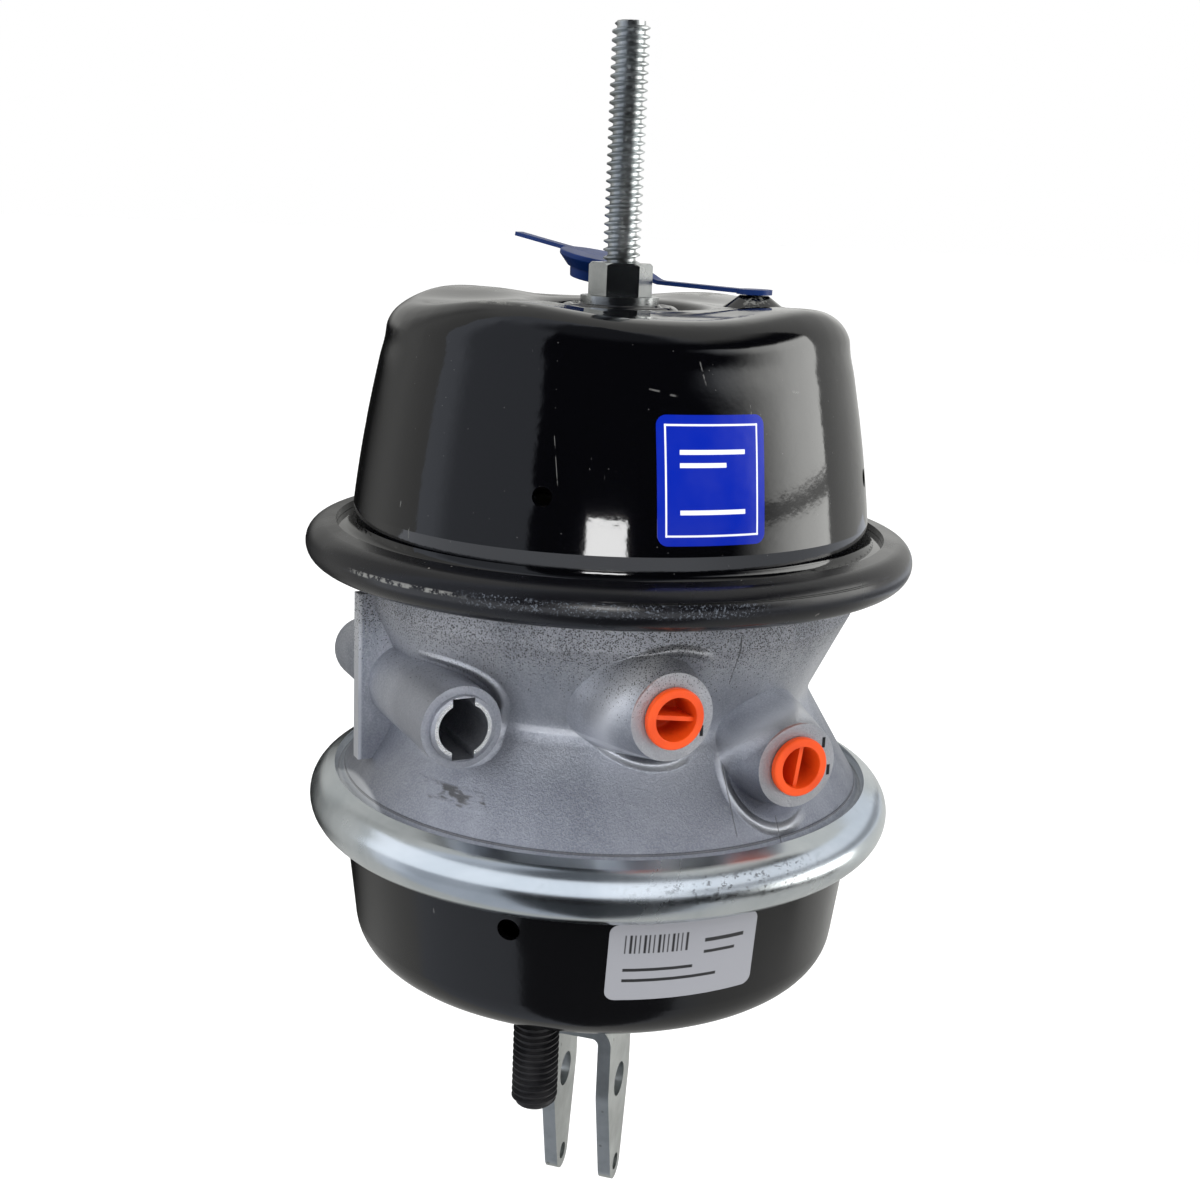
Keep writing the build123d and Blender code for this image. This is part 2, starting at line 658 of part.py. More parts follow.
def head_stations(inset):
    """(radius, mid height, wave share) of each section of the head's skin, from the
    base up the wall, round the rim and in over the crown to the washer's seat."""
    rim = HEAD_RIM - inset
    top = HEAD_CREST_Z - inset
    rim_z = top - rim

    def wall_r(z):
        up = z - HEAD_BASE_Z
        return HEAD_BASE_R - inset - HEAD_LEAN * up - up * up / (2 * HEAD_BARREL)

    found = []
    shoulder_z = rim_z - SHOULDER_DROP
    for k in range(6):
        z = HEAD_BASE_Z + (shoulder_z - HEAD_BASE_Z) * k / 5
        found.append((wall_r(z), z, 0.0))
    blend_z = rim_z - SHOULDER_DROP * 3 / 7
    found.append((wall_r(blend_z), blend_z, 0.25))
    for k in range(7):
        a = math.radians(15 * k)
        share = 0.35 + 0.65 * ease((k + 0.8) / 6)
        found.append((wall_r(rim_z) - rim + rim * math.cos(a), rim_z + rim * math.sin(a), share))
    for radius in (*CROWN_STATIONS, SEAT_R):
        dip = GROOVE_DEPTH * math.exp(-((radius - GROOVE_R) * 1.6 / GROOVE_WIDTH) ** 2)
        found.append((radius, top - dip, ease((radius - LOBE_FADE_R) / LOBE_FADE)))
    return found


def head_section(radius, z, share):
    if share == 0:
        return Wire(Edge.make_circle(radius, Plane((0, 0, z))))
    points = []
    for k in range(8 * LOBE_COUNT):
        azimuth = 45 / LOBE_COUNT * k
        lobe = (1 + math.cos(math.radians(LOBE_COUNT * (azimuth - LOBE_AZ)))) / 2
        lift = LOBE_RISE * lobe ** 1.5 - LOBE_SINK
        points.append(Vector(*polar(radius, azimuth, z + lift * share)))
    return Wire(Edge.make_spline(points, periodic=True))


def head_skin(inset):
    return Solid.make_loft([head_section(*station) for station in head_stations(inset)])


def head_flange_path():
    """Outside of the head's flange, from its edge to the foot of the wall and up."""
    end, inner = crimp_face(1, CRIMP_HIGH_R)
    edge = on_line(end, inner, HEAD_RIM_R)
    return [edge, on_line(end, inner, HEAD_BASE_R), (HEAD_BASE_R, HEAD_BASE_Z)]


def head_flange():
    """Flange below the head's wall, turned out under the crimp ring."""
    return turned(sheet_outline(head_flange_path(), [HEAD_FOOT], HEAD_SHEET))


def power_head():
    shell = head_skin(0) - head_skin(HEAD_SHEET)
    shell = shell + head_flange()
    anchor = Pos(ANCHOR_X, ANCHOR_Y, ANCHOR_LOW_Z) * Cone(
        ANCHOR_BASE_R, ANCHOR_TOP_R, ANCHOR_Z - ANCHOR_LOW_Z, align=low_align()
    )
    shell += anchor
    shell -= round_bar(ANCHOR_HOLE_R, ANCHOR_LOW_Z - 9, ANCHOR_Z + 1, (ANCHOR_X, ANCHOR_Y))
    shell -= round_bar(HEAD_HOLE_R, HEAD_CREST_Z - 10, HEAD_CREST_Z + 5)
    for k in range(VENT_COUNT):
        way = facing(HEAD_VENT_AZ + 360 / VENT_COUNT * k)
        hole = Plane(way * (HEAD_BASE_R - 5) + Vector(0, 0, HEAD_VENT_Z), z_dir=way)
        shell -= hole * Cylinder(HEAD_VENT_R, 20)
    return shell


def spring_diaphragm():
    """Rubber cup between the pressure plate and the adapter plate, its bead under the head."""
    rim, foot, _ = shifted(head_flange_path(), HEAD_SHEET + SEAT_GAP)
    floor = CASE_HIGH_Z + SEAT_GAP
    skirt = [(SPRING_CROWN_R, SPRING_CROWN_Z), (BEAD_IN_R, foot[1])]
    inner = shifted([skirt[1], skirt[0], (0, SPRING_CROWN_Z)], RUBBER)
    return turned(outline(
        [
            (0, SPRING_CROWN_Z), skirt[0], skirt[1], foot, rim,
            (rim[0], floor), (BEAD_IN_R - RUBBER, floor), inner[1], (0, SPRING_CROWN_Z - RUBBER),
        ],
        [0, CROWN_CORNER, 0, 0, 0, 0.5, 0, CROWN_CORNER - RUBBER, 0],
    ))


# ---- push rod body ---------------------------------------------------------------------------------
def push_plate():
    path = [(0, PUSH_PLATE_Z), (PUSH_PLATE_R - PUSH_PLATE_SHEET, PUSH_PLATE_Z),
            (PUSH_PLATE_R - PUSH_PLATE_SHEET + PUSH_PLATE_FLARE, PUSH_PLATE_Z - PUSH_PLATE_LIP)]
    return turned(sheet_outline(path, [3.0], PUSH_PLATE_SHEET))


def push_rod():
    """Round rod, with the weld that carries the plate at its top."""
    weld_z = PUSH_PLATE_Z - WELD
    return turned(outline(
        [(0, CLEVIS_TOP_Z), (PUSH_ROD_R, CLEVIS_TOP_Z), (PUSH_ROD_R, weld_z),
         (WELD_R, PUSH_PLATE_Z), (0, PUSH_PLATE_Z)],
        [0, 0, 2.0, 0, 0],
    ))


def clevis():
    """Welded yoke: a strap bent into a U, its ears tapered to the small hole."""
    half = CLEVIS_GAP / 2 + CLEVIS_SHEET
    tip_z = LINK_Z - CLEVIS_TIP_R
    u_path = [(-half, tip_z), (-half, CLEVIS_TOP_Z), (half, CLEVIS_TOP_Z), (half, tip_z)]
    strap = sheet_outline(u_path[::-1], [CLEVIS_BEND] * 2, CLEVIS_SHEET)
    strap = extrude(Plane.XZ * strap, CLEVIS_WIDTH / 2, both=True)
    wide = CLEVIS_WIDTH / 2
    drop = PIN_Z - LINK_Z
    lean = math.asin((wide - CLEVIS_TIP_R) / drop)
    up = (wide * math.cos(lean), PIN_Z - wide * math.sin(lean))
    low = (CLEVIS_TIP_R * math.cos(lean), LINK_Z - CLEVIS_TIP_R * math.sin(lean))
    side = make_face(Polyline(
        (-wide, CLEVIS_TOP_Z + 1), (wide, CLEVIS_TOP_Z + 1), (wide, PIN_Z), up, low,
        (-low[0], low[1]), (-up[0], up[1]), (-wide, PIN_Z), close=True,
    ))
    side += Pos(0, PIN_Z) * Circle(wide) + Pos(0, LINK_Z) * Circle(CLEVIS_TIP_R)
    yoke = strap & extrude(Plane.YZ * side, 2 * half, both=True)
    for radius, z in ((PIN_HOLE_R, PIN_Z), (LINK_HOLE_R, LINK_Z)):
        yoke -= Pos(0, 0, z) * Rot(0, 90, 0) * Cylinder(radius, 4 * half)
    return Rot(0, 0, CLEVIS_AZ) * yoke


# ---- power piston ----------------------------------------------------------------------------------
def adapter_plate():
    return round_bar(ADAPTER_PLATE_R, ADAPTER_PLATE_Z, ADAPTER_PLATE_Z + ADAPTER_SHEET)


def adapter_rod():
    foot = SERVICE_CROWN_Z + RUN_GAP
    return turned(outline(
        [(0, foot), (ADAPTER_ROD_R, foot), (ADAPTER_ROD_R, ADAPTER_PLATE_Z), (0, ADAPTER_PLATE_Z)],
        [0, 1.0, 0, 0],
    ))


def pressure_plate():
    """Dished plate with the hollow hub that the release bolt hooks into."""
    lip_z = PRESSURE_TOP_Z + PRESSURE_LIP
    plate = turned(outline(
        [
            (0, PRESSURE_Z), (PRESSURE_R, PRESSURE_Z), (PRESSURE_R, lip_z),
            (PRESSURE_R - PRESSURE_LIP_SHEET, lip_z), (PRESSURE_R - PRESSURE_LIP_SHEET, PRESSURE_TOP_Z),
            (SPRING_HUB_R, PRESSURE_TOP_Z), (SPRING_HUB_R, SPRING_HUB_TOP_Z), (0, SPRING_HUB_TOP_Z),
        ],
        [0, 4.0, 1.0, 1.0, 2.0, 3.0, 1.5, 0],
    ))
    ledge_z = SPRING_HUB_TOP_Z - LEDGE
    plate -= round_bar(SPRING_HUB_IN_R, PRESSURE_TOP_Z, ledge_z)
    slot = SlotOverall(LEDGE_SLOT, 2 * (RELEASE_R + 1))
    return plate - Pos(0, 0, ledge_z - 1) * extrude(slot, LEDGE + 2)


def hook_z():
    """Height of the cross pin's axis: just under the hub's ledge."""
    return SPRING_HUB_TOP_Z - LEDGE - CROSS_PIN_R - SEAT_GAP


def release_bolt():
    low = RELEASE_TOP_Z - RELEASE_LENGTH
    bolt = turned(outline([(0, low), (RELEASE_R, low), (RELEASE_R, RELEASE_TOP_Z), (0, RELEASE_TOP_Z)]))
    ends = bolt.edges().filter_by(GeomType.CIRCLE)
    bolt = chamfer(ends, RELEASE_CHAMFER)
    pin_hole = Pos(0, 0, hook_z()) * Rot(90, 0, 0) * Cylinder(CROSS_PIN_R + SLIDE_FIT, 4 * RELEASE_R)
    return bolt - pin_hole


def release_cross_pin():
    return Pos(0, 0, hook_z()) * Rot(90, 0, 0) * Cylinder(CROSS_PIN_R, CROSS_PIN)


def release_nut():
    nut = hexagon(NUT_AF, NUT_Z, NUT_Z + NUT, NUT_TURN, NUT_CHAMFER)
    return nut - round_bar(RELEASE_R + SLIDE_FIT, NUT_Z - 1, NUT_Z + NUT + 1)


def release_washer():
    ring = round_bar(WASHER_R, WASHER_Z, WASHER_Z + WASHER)
    return ring - round_bar(WASHER_IN_R, WASHER_Z - 1, WASHER_Z + WASHER + 1)


# ---- springs ---------------------------------------------------------------------------------------
def power_spring():
    return coil(POWER_WIRE_R, POWER_LOW_R, POWER_HIGH_R, PRESSURE_TOP_Z + RUN_GAP,
                POWER_TOP_Z, POWER_TURNS)


def service_return_spring():
    return coil(RETURN_WIRE_R, RETURN_LOW_R, RETURN_HIGH_R, PLATE_TOP_Z + SEAT_GAP,
                PUSH_PLATE_Z - RUN_GAP, RETURN_TURNS)


def adapter_return_spring():
    return coil(HELPER_WIRE_R, HELPER_LOW_R, HELPER_HIGH_R, HIGH_FLOOR_Z + SEAT_GAP,
                ADAPTER_PLATE_Z - RUN_GAP, HELPER_TURNS)


# ---- port plugs and the dust plug ------------------------------------------------------------------
def port_plug(turn, across, z, bar_turn):
    """Hollow plug seated on its port's face, with a grip bar across its mouth."""
    body_r = PORT_BORE_R - RUN_GAP
    cup_r = body_r - PLUG_WALL / 2
    seat = RUN_GAP
    solid = turned(outline(
        [
            (0, -PLUG_BODY), (body_r - 0.6, -PLUG_BODY), (body_r, -PLUG_BODY / 2), (body_r, seat),
            (PLUG_HEAD_R, seat), (PLUG_HEAD_R, seat + PLUG_HEAD), (cup_r, seat + PLUG_HEAD),
            (cup_r - 0.5, PLUG_WALL - PLUG_BODY), (0, PLUG_WALL - PLUG_BODY),
        ],
        [0, 1.0, 0, 0, 0.4, 0.9, 0.4, 1.0, 0],
    ))
    deep = PLUG_BODY - PLUG_WALL + seat + PLUG_HEAD - PLUG_BAR_DROP
    bar = Box(2 * cup_r, PLUG_BAR, deep, align=low_align())
    bar = Pos(0, 0, PLUG_WALL - PLUG_BODY) * Rot(0, 0, bar_turn) * bar
    plug = solid + (bar & round_bar(cup_r + 0.2, -PLUG_BODY, PLUG_HEAD))
    plug = outward(across, z, PORT_FACE) * plug
    return Rot(0, 0, SIDE_AZ + 90 + turn) * plug


def strap_way():
    """Unit direction from the dust plug's axis to the strap's anchor, and its length."""
    long = math.hypot(ANCHOR_X - DUST_X, ANCHOR_Y - DUST_Y)
    return (ANCHOR_X - DUST_X) / long, (ANCHOR_Y - DUST_Y) / long, long


def dust_plug_strap():
    """One moulding: pull tab, dust plug, thin strap and the button in the head's boss."""
    way_x, way_y, long = strap_way()
    upright = Plane((DUST_X, DUST_Y, 0), x_dir=(way_x, way_y, 0), z_dir=(way_y, -way_x, 0))
    fall = math.tan(math.radians(DUST_TILT))
    button_z = ANCHOR_Z + RUN_GAP
    edge = (DUST_R - 3, DUST_Z - STRAP - fall * (DUST_R - 3))
    run = [edge, (DUST_R + 3, edge[1] - 6 * fall), (STRAP_BEND_OUT, STRAP_LIE_Z - STRAP),
           (long - BUTTON_R, button_z + 0.2), (long, button_z)]
    strap = extrude(upright * sheet_outline(run, [3.0, 8.0, 8.0], STRAP), STRAP_WIDTH / 2, both=True)
    tab_run = [(-TAB_REACH, DUST_Z - STRAP + TAB_RISE), (-DUST_R + 3, DUST_Z - STRAP + fall * (DUST_R - 3)),
               (0, DUST_Z - STRAP)]
    tab = extrude(upright * sheet_outline(tab_run, [6.0], STRAP), TAB_WIDTH / 2, both=True)
    cap = turned(outline(
        [
            (0, 0), (DUST_R, 0), (DUST_R, -1.7), (DUST_BODY_R + 1, -5.2), (DUST_BODY_R, -5.2),
            (DUST_BODY_R - 0.6, -DUST_HIGH), (DUST_BODY_R - DUST_WALL - 0.6, -DUST_HIGH),
            (DUST_BODY_R - DUST_WALL, -DUST_WALL - 1), (0, -DUST_WALL - 1),
        ],
        [0, 0.6, 0.6, 0, 0, 0.4, 0.4, 0.5, 0],
    ))
    tilted = Plane((DUST_X, DUST_Y, DUST_Z), x_dir=(way_x, way_y, -fall), z_dir=(way_x * fall, way_y * fall, 1))
    button = round_bar(BUTTON_R, button_z, button_z + BUTTON, (ANCHOR_X, ANCHOR_Y))
    peg = round_bar(BUTTON_PEG_R, ANCHOR_Z - 5, button_z + 0.5, (ANCHOR_X, ANCHOR_Y))
    return tilted * cap + strap + tab + button + peg


# ---- write every node --------------------------------------------------------------------------------
NODES = {
    "service_housing": service_housing,
    "stud_reinforcement_plate": stud_reinforcement_plate,
    "mounting_studs": mounting_studs,
    "service_diaphragm": service_diaphragm,
    "clamp_band": clamp_band,
    "clamp_bolt": clamp_bolt,
    "clamp_nut": clamp_nut,
    "flange_case": flange_case,
    "rod_guide_bushing": rod_guide_bushing,
    "rod_seal": rod_seal,
    "crimp_ring": crimp_ring,
    "power_head": power_head,
    "spring_diaphragm": spring_diaphragm,
    "push_plate": push_plate,
    "push_rod": push_rod,
    "clevis": clevis,
    "adapter_plate": adapter_plate,
    "adapter_rod": adapter_rod,
    "pressure_plate": pressure_plate,
    "release_bolt": release_bolt,
    "release_cross_pin": release_cross_pin,
    "release_nut": release_nut,
    "release_washer": release_washer,
    "power_spring": power_spring,
    "service_return_spring": service_return_spring,
    "adapter_return_spring": adapter_return_spring,
    "dust_plug_strap": dust_plug_strap,
}


def write(name, shape):
    solids = shape if isinstance(shape, list) else [shape]
    whole = Compound(children=[s for piece in solids for s in piece.solids()])
    export_step(whole, f"parts/{name}.step")


os.makedirs("parts", exist_ok=True)
for node, make in NODES.items():
    write(node, make())
for (node, turn, across, z), bar_turn in zip(port_list(), PLUG_BAR_TURNS):
    write(node, port_plug(turn, across, z, bar_turn))
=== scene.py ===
import bmesh
import bpy
import math
from contextlib import contextmanager
from functools import cached_property
from mathutils import Matrix, Vector


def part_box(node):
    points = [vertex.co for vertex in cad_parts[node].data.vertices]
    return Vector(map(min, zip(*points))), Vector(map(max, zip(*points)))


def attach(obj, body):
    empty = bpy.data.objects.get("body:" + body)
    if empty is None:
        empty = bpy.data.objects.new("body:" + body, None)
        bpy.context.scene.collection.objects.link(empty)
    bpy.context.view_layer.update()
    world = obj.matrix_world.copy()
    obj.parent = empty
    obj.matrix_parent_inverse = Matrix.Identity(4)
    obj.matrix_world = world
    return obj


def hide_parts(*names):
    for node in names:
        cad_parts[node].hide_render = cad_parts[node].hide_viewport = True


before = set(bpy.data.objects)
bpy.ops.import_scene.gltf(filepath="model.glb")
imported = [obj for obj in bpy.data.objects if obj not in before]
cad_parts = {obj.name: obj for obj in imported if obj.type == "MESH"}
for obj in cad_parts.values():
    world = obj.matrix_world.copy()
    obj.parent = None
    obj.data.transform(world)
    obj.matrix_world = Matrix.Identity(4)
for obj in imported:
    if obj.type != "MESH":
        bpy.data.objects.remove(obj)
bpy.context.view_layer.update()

MM = 0.001
RADIAN = 180 / math.pi      # in degrees

# ---- camera ------------------------------------------------------------------------------
CAMERA_AT = (0.0, -0.560, 0.2634)
CAMERA_YAW = -0.24          # degrees, turned about the chamber's axis
CAMERA_PITCH = 13.50        # degrees below the horizon
CAMERA_ROLL = 2.44
CAMERA_LENS = 48.153
CAMERA_CLIP = (0.01, 200.0)
SENSOR = 36.0

# ---- places that the scene shares with the chamber ---------------------------------------
# Where four numbers describe a patch, it fades in over the first two and out over the last
# two. A pair called HALF is a half width: full inside the first, gone outside the second.
# Azimuths are in degrees.
HEAD_R = 84.0 * MM
HEAD_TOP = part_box("power_head")[1].z
LOBE_SCUFF_Z = (HEAD_TOP - 4.1 * MM, HEAD_TOP - 3.0 * MM)
# short marks: (azimuth, height in mm) where one starts, the same where it ends, half width
HEAD_MARKS = (((-83.0, 213.5), (-79.6, 212.6), 0.35 * MM),
              ((-78.6, 212.0), (-76.6, 211.5), 0.4 * MM),
              ((-71.8, 221.8), (-70.4, 214.3), 0.3 * MM),
              ((-102.1, 198.8), (-100.6, 183.5), 0.16 * MM),
              ((-48.0, 212.5), (-45.5, 212.0), 0.4 * MM))

CRIMP_Z = 150.6 * MM        # heights on the ring are counted from here
FOLD_UP = 2.9 * MM          # the crimp's fold line, drawn dark as painted shade
FOLD_HALF = (0.12 * MM, 0.34 * MM)
FOLD_AZ = (-92, -84, -40, -28)
# rubbed strip round the ring's front, which also carries a painted highlight
RUBBED_SHEEN_UP = (-2.2 * MM, -0.8 * MM, FOLD_UP - 0.5 * MM, FOLD_UP)
RUBBED_SHEEN_AZ = (-118, -108, -70, -60)
STREAK_UP = 1.0 * MM
STREAK_HALF = (0.4 * MM, 0.9 * MM)
STREAK_AZ = (-141, -136, -118, -112)
RUST_UP = (-4.1 * MM, -4.7 * MM)
RUST_AZ = (-82, -80, -75, -73)

CLAMP_Z = sum(corner.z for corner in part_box("clamp_band")) / 2
CLAMP_SCUFF_Z = CLAMP_Z + 3.0 * MM
CLAMP_SCUFF_HALF = (2.5 * MM, 5.5 * MM)
CLAMP_SCUFF_AZ = (-90, -66, -50, -42)

STUD_RING = 120.65 * MM
STUD_AZ = -107.0

# ---- places on the casting: depth counts towards SIDE_AZ, across counts square to it -----
SIDE_AZ = -63.7             # azimuth that the ports and the storage tube face
PORT_FACE = 95.0 * MM
TUBE_ACROSS = -75.0 * MM
TUBE_Z = 105.4 * MM
TUBE_MOUTH = 55.0 * MM
TUBE_RIM_R = 9.3 * MM
TUBE_COLLAR_R = (13.5 * MM, 9.4 * MM)
# the gusset plate's outer edge, lightened as a painted highlight
GUSSET_EDGE = (-90.4 * MM, -91.4 * MM)
# raised outlines, in mm: (across, height, half width, half height), (from, to) across,
# and how strongly the ridge, with its painted highlight, and the dish's painted shade show
FAIRINGS = (((-17.0, 114.0, 22.5, 20.0), (-2.0, -10.0), 1.0, 1.0),
            ((25.0, 91.5, 20.3, 19.8), (38.0, 26.0), 1.0, 1.0),
            ((-75.0, 105.4, 16.5, 16.5), (-100.0, -99.0), 0.7, 0.5))
FAIRING_RIDGE = (0.90, 1.0, 1.0, 1.12)      # as shares of the outline's size
# painted shade inside each ridge's dish
FAIRING_DISH_SHADE = (0.45, 0.62, 0.80, 0.96)
FAIRING_DEPTH = (20.0 * MM, 30.0 * MM)
FACE_SKIN = 0.25 * MM       # a milled face's look reaches this deep
TICKS = ((-12.6, 111.0), (32.6, 102.4), (35.0, 93.0))                   # across, height in mm
TICK_ACROSS_HALF = (0.5 * MM, 0.7 * MM)
TICK_UP_HALF = (1.6 * MM, 1.9 * MM)
SEAMS = ((5.3, 73.0, 92.0), (4.6, 121.0, 137.0), (22.0, 67.0, 75.0))    # across, from, to
SEAM_HALF = (0.12 * MM, 0.32 * MM)
SEAM_DEPTH = (60.0 * MM, 66.0 * MM)
PAD = (-73.5, 79.5, 7.0, 3.2)               # across, height, half width, half height in mm
PAD_DEPTH = (15.0 * MM, 20.0 * MM)
FOOT_LINE_Z = 69.5 * MM     # thin groove round the casting, above the clamp band, darkened as painted shade
FOOT_LINE_HALF = (0.15 * MM, 0.45 * MM)
# a line along the waist, lightened as a painted highlight
WAIST_Z = 102.6 * MM
WAIST_UP_HALF = (0.6 * MM, 1.6 * MM)
WAIST_ACROSS = -42.0 * MM
WAIST_ACROSS_HALF = (11.0 * MM, 15.0 * MM)
# painted shade: the casting turns darker towards the bottom between these heights
LOWER_SHADE_Z = (98.0 * MM, 84.0 * MM)
SPRAY_Z = (112.0 * MM, 136.0 * MM)

# ---- threads -----------------------------------------------------------------------------
RELEASE_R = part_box("release_bolt")[1].x
RELEASE_PITCH = 2.82 * MM
RELEASE_CHAMFER = 1.6 * MM
STUD_R = 7.94 * MM
STUD_PITCH = 2.31 * MM
STUD_CHAMFER = 1.8 * MM
THREAD_DEPTH = 0.55         # of the pitch
THREAD_RISES = (0.18, 0.26, 0.16, 0.26, 0.14)   # root, flank, crest, flank, root; of the pitch
THREAD_STEPS = 40
THREAD_CREASE = 50
WELD = 0.002 * MM

# ---- stickers ----------------------------------------------------------------------------
STICKER_SHEET = 0.12 * MM
STICKER_LIFT = 0.05 * MM
STICKER_CORNER = 3.2 * MM
STICKER_CELLS = (40, 32)
STICKER_CREASE = 40
STICKER_PASSES = 2          # each finds the wall's radius better
OUTSIDE_R = 0.2             # rays at a wall start out here
HEAD_STICKER_AZ = -69.3
HEAD_STICKER_Z = (167.4 * MM, 206.2 * MM)
HEAD_STICKER_WIDTH = 35.6 * MM
HOUSING_STICKER_AZ = -70.4
HOUSING_STICKER_Z = (18.4 * MM, 46.0 * MM)
HOUSING_STICKER_WIDTH = 51.6 * MM
BAR_BLUR = 0.004            # of the sticker's size

# ---- studio ------------------------------------------------------------------------------
FLOOR_Z = -0.165            # just below the clevis when the rod is all the way out
FLOOR_R = 30.0
FLOOR_SIDES = 96
FLOOR_GLOW = 0.30
# what reflections see of the room, by azimuth and by height above the horizon in degrees
ROOM_R = 4.0
ROOM_SIDES = 64
ROOM_RINGS = 32
FRONT_AZ = (-125, -123, -50, -46)
LEFT_AZ = (-123, -125)
FAR_LEFT_AZ = (-160, -172)
REAR_LEFT_AZ = (120, 160)
RIGHT_AZ = (18, 20, 70, 110)
BACK_AZ = (60, 85, 125, 150)
BACK_HEIGHT = (2, 12)
OVERHEAD_AZ = (-155, -125, -60, -35)
BELOW_HEIGHT = (-24, -34)
ABOVE_HEIGHT = (46, 62)
WINDOW_AZ = (-38, 4, 18, 20)
WINDOW_WIDER = 20           # further to the left above the next heights
WINDOW_WIDER_HEIGHT = (11, 24)
WINDOW_HEIGHT = (-20, -15, 29, 34)
BAR_HEIGHT = 4.2            # of the window's slanted bar, at azimuth 0
BAR_HALF = (0.5, 1.3)
BAR_SLOPE = 0.049
BAR_DIM = 0.8
COOL_AZ = (-60, -20)        # the light turns from cool to warm between these
# how brightly the parts of the room glow
ROOM_GLOW = 0.012
WINDOW_GLOW = 4.1
RIGHT_GLOW = 0.65
LEFT_GLOW = 0.42
FAR_LEFT_MORE = 0.7         # of the left's glow
REAR_LEFT_SHARE = 1.1       # of the left's glow
BACK_GLOW = 0.5
BELOW_GLOW = 0.50
BELOW_FRONT_DIM = 0.46
ABOVE_GLOW = 0.62
OVERHEAD_DIM = 0.50
# the curved card and lamp close to the chamber, by azimuth in degrees and height in metres
CARD_R = 0.260
CARD_SHELF_R = 0.165
CARD_Z = (0.050, 0.140)
CARD_AZ = (-168.0, 40.0)
CARD_LIGHT = 1.15
CARD_FADE_AZ = (-70, -40)
CARD_FADE = 0.25
CARD_STRIP_AZ = (-70, -58)
CARD_STRIP_Z = (0.060, 0.070, 0.100, 0.115)
CARD_STRIP = 0.55
LAMP_Z = (0.160, 0.190)
LAMP_AZ = (-99.0, -84.0)
LAMP_LIGHT = 14.0
ARC_SIDES = 180
# soft lights: name, place, size, power, tint
SOFT_LIGHTS = (("key", (1.0, -1.2, 1.6), 1.2, 18, (1, 1, 1)),
               ("fill", (-1.4, -0.8, 0.9), 1.2, 8, (0.95, 0.98, 1)))
LIGHTS_AIM = Vector((0, 0, 0.12))


# ---- modelling helpers -------------------------------------------------------------------
def choose(*pieces):
    """Select just these pieces; the first is the active one."""
    bpy.ops.object.select_all(action="DESELECT")
    for piece in pieces:
        piece.select_set(True)
    if pieces:
        bpy.context.view_layer.objects.active = pieces[0]


def begin(name, primitive, **settings):
    """Add a primitive with nothing else selected, and name it."""
    choose()
    primitive(**settings)
    piece = bpy.context.object
    piece.name = name
    piece.data.name = name
    return piece


@contextmanager
def editing(piece, mode="FACE"):
    """Edit mode on one piece; the with block gets its bmesh."""
    choose(piece)
    bpy.ops.object.mode_set(mode="EDIT")
    bpy.ops.mesh.select_mode(type=mode)
    yield bmesh.from_edit_mesh(piece.data)
    bpy.ops.object.mode_set(mode="OBJECT")


def pick(mesh, items, test):
    """Select just the faces, edges or vertices that pass a test."""
    bpy.ops.mesh.select_all(action="DESELECT")
    for item in items:
        if test(item):
            item.select_set(True)
    mesh.select_flush_mode()


def settle(piece):
    """Put an object's place into its mesh, so that the object sits at the origin."""
    piece.data.transform(piece.matrix_basis)
    piece.matrix_basis = Matrix.Identity(4)
    return piece


def modify(piece, kind, **settings):
    """Add a modifier and apply it."""
    choose(piece)
    modifier = piece.modifiers.new(kind.lower(), kind)
    for key, value in settings.items():
        setattr(modifier, key, value)
    bpy.ops.object.modifier_apply(modifier=modifier.name)
    return piece


def smooth(piece, crease):
    """Shade smooth, apart from edges sharper than a crease angle in degrees."""
    choose(piece)
    bpy.ops.object.shade_smooth_by_angle(angle=math.radians(crease))
    return piece


def outward_normals(piece):
    """Merge doubled vertices and turn every face outward."""
    with editing(piece):
        bpy.ops.mesh.select_all(action="SELECT")
        bpy.ops.mesh.remove_doubles(threshold=WELD)
        bpy.ops.mesh.normals_make_consistent(inside=False)
    return piece


def polar(radius, azimuth, z=0.0):
    """Point at a radius and an azimuth in degrees."""
    angle = math.radians(azimuth)
    return Vector((radius * math.cos(angle), radius * math.sin(angle), z))


# ---- threaded pieces ---------------------------------------------------------------------
def threaded_bar(name, radius, pitch, low, high, chamfer):
    """Bar with a single-start thread: one pitch of profile, screwed up the axis,
    cut flat at both ends and chamfered there."""
    deep = THREAD_DEPTH * pitch
    bar = begin(name, bpy.ops.mesh.primitive_plane_add, size=pitch,
                location=(radius - deep, 0, low - pitch))
    settle(bar)
    with editing(bar, "VERT"):
        bpy.ops.mesh.select_all(action="SELECT")
        bpy.ops.mesh.merge(type="CENTER")
        for out, up in zip((0, deep, 0, -deep, 0), THREAD_RISES):
            bpy.ops.mesh.extrude_region_move(
                TRANSFORM_OT_translate={"value": (out, 0, up * pitch)})
    turns = math.ceil((high - low) / pitch) + 2
    modify(bar, "SCREW", angle=2 * math.pi, screw_offset=pitch, iterations=turns,
           steps=THREAD_STEPS, render_steps=THREAD_STEPS, axis="Z")
    outward_normals(bar)
    with editing(bar):
        for height, side in ((low, {"clear_inner": True}), (high, {"clear_outer": True})):
            bpy.ops.mesh.select_all(action="SELECT")
            bpy.ops.mesh.bisect(plane_co=(0, 0, height), plane_no=(0, 0, 1), use_fill=True,
                                **side)
    for vertex in bar.data.vertices:
        inset = min(vertex.co.z - low, high - vertex.co.z)
        limit = radius - max(chamfer - inset, 0)
        reach = math.hypot(vertex.co.x, vertex.co.y)
        if reach > limit:
            vertex.co.x *= limit / reach
            vertex.co.y *= limit / reach
    return outward_normals(bar)


def release_thread():
    """The release bolt with its thread."""
    low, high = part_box("release_bolt")
    bar = threaded_bar("release_bolt_thread", RELEASE_R, RELEASE_PITCH, low.z, high.z,
                       RELEASE_CHAMFER)
    return smooth(bar, THREAD_CREASE)


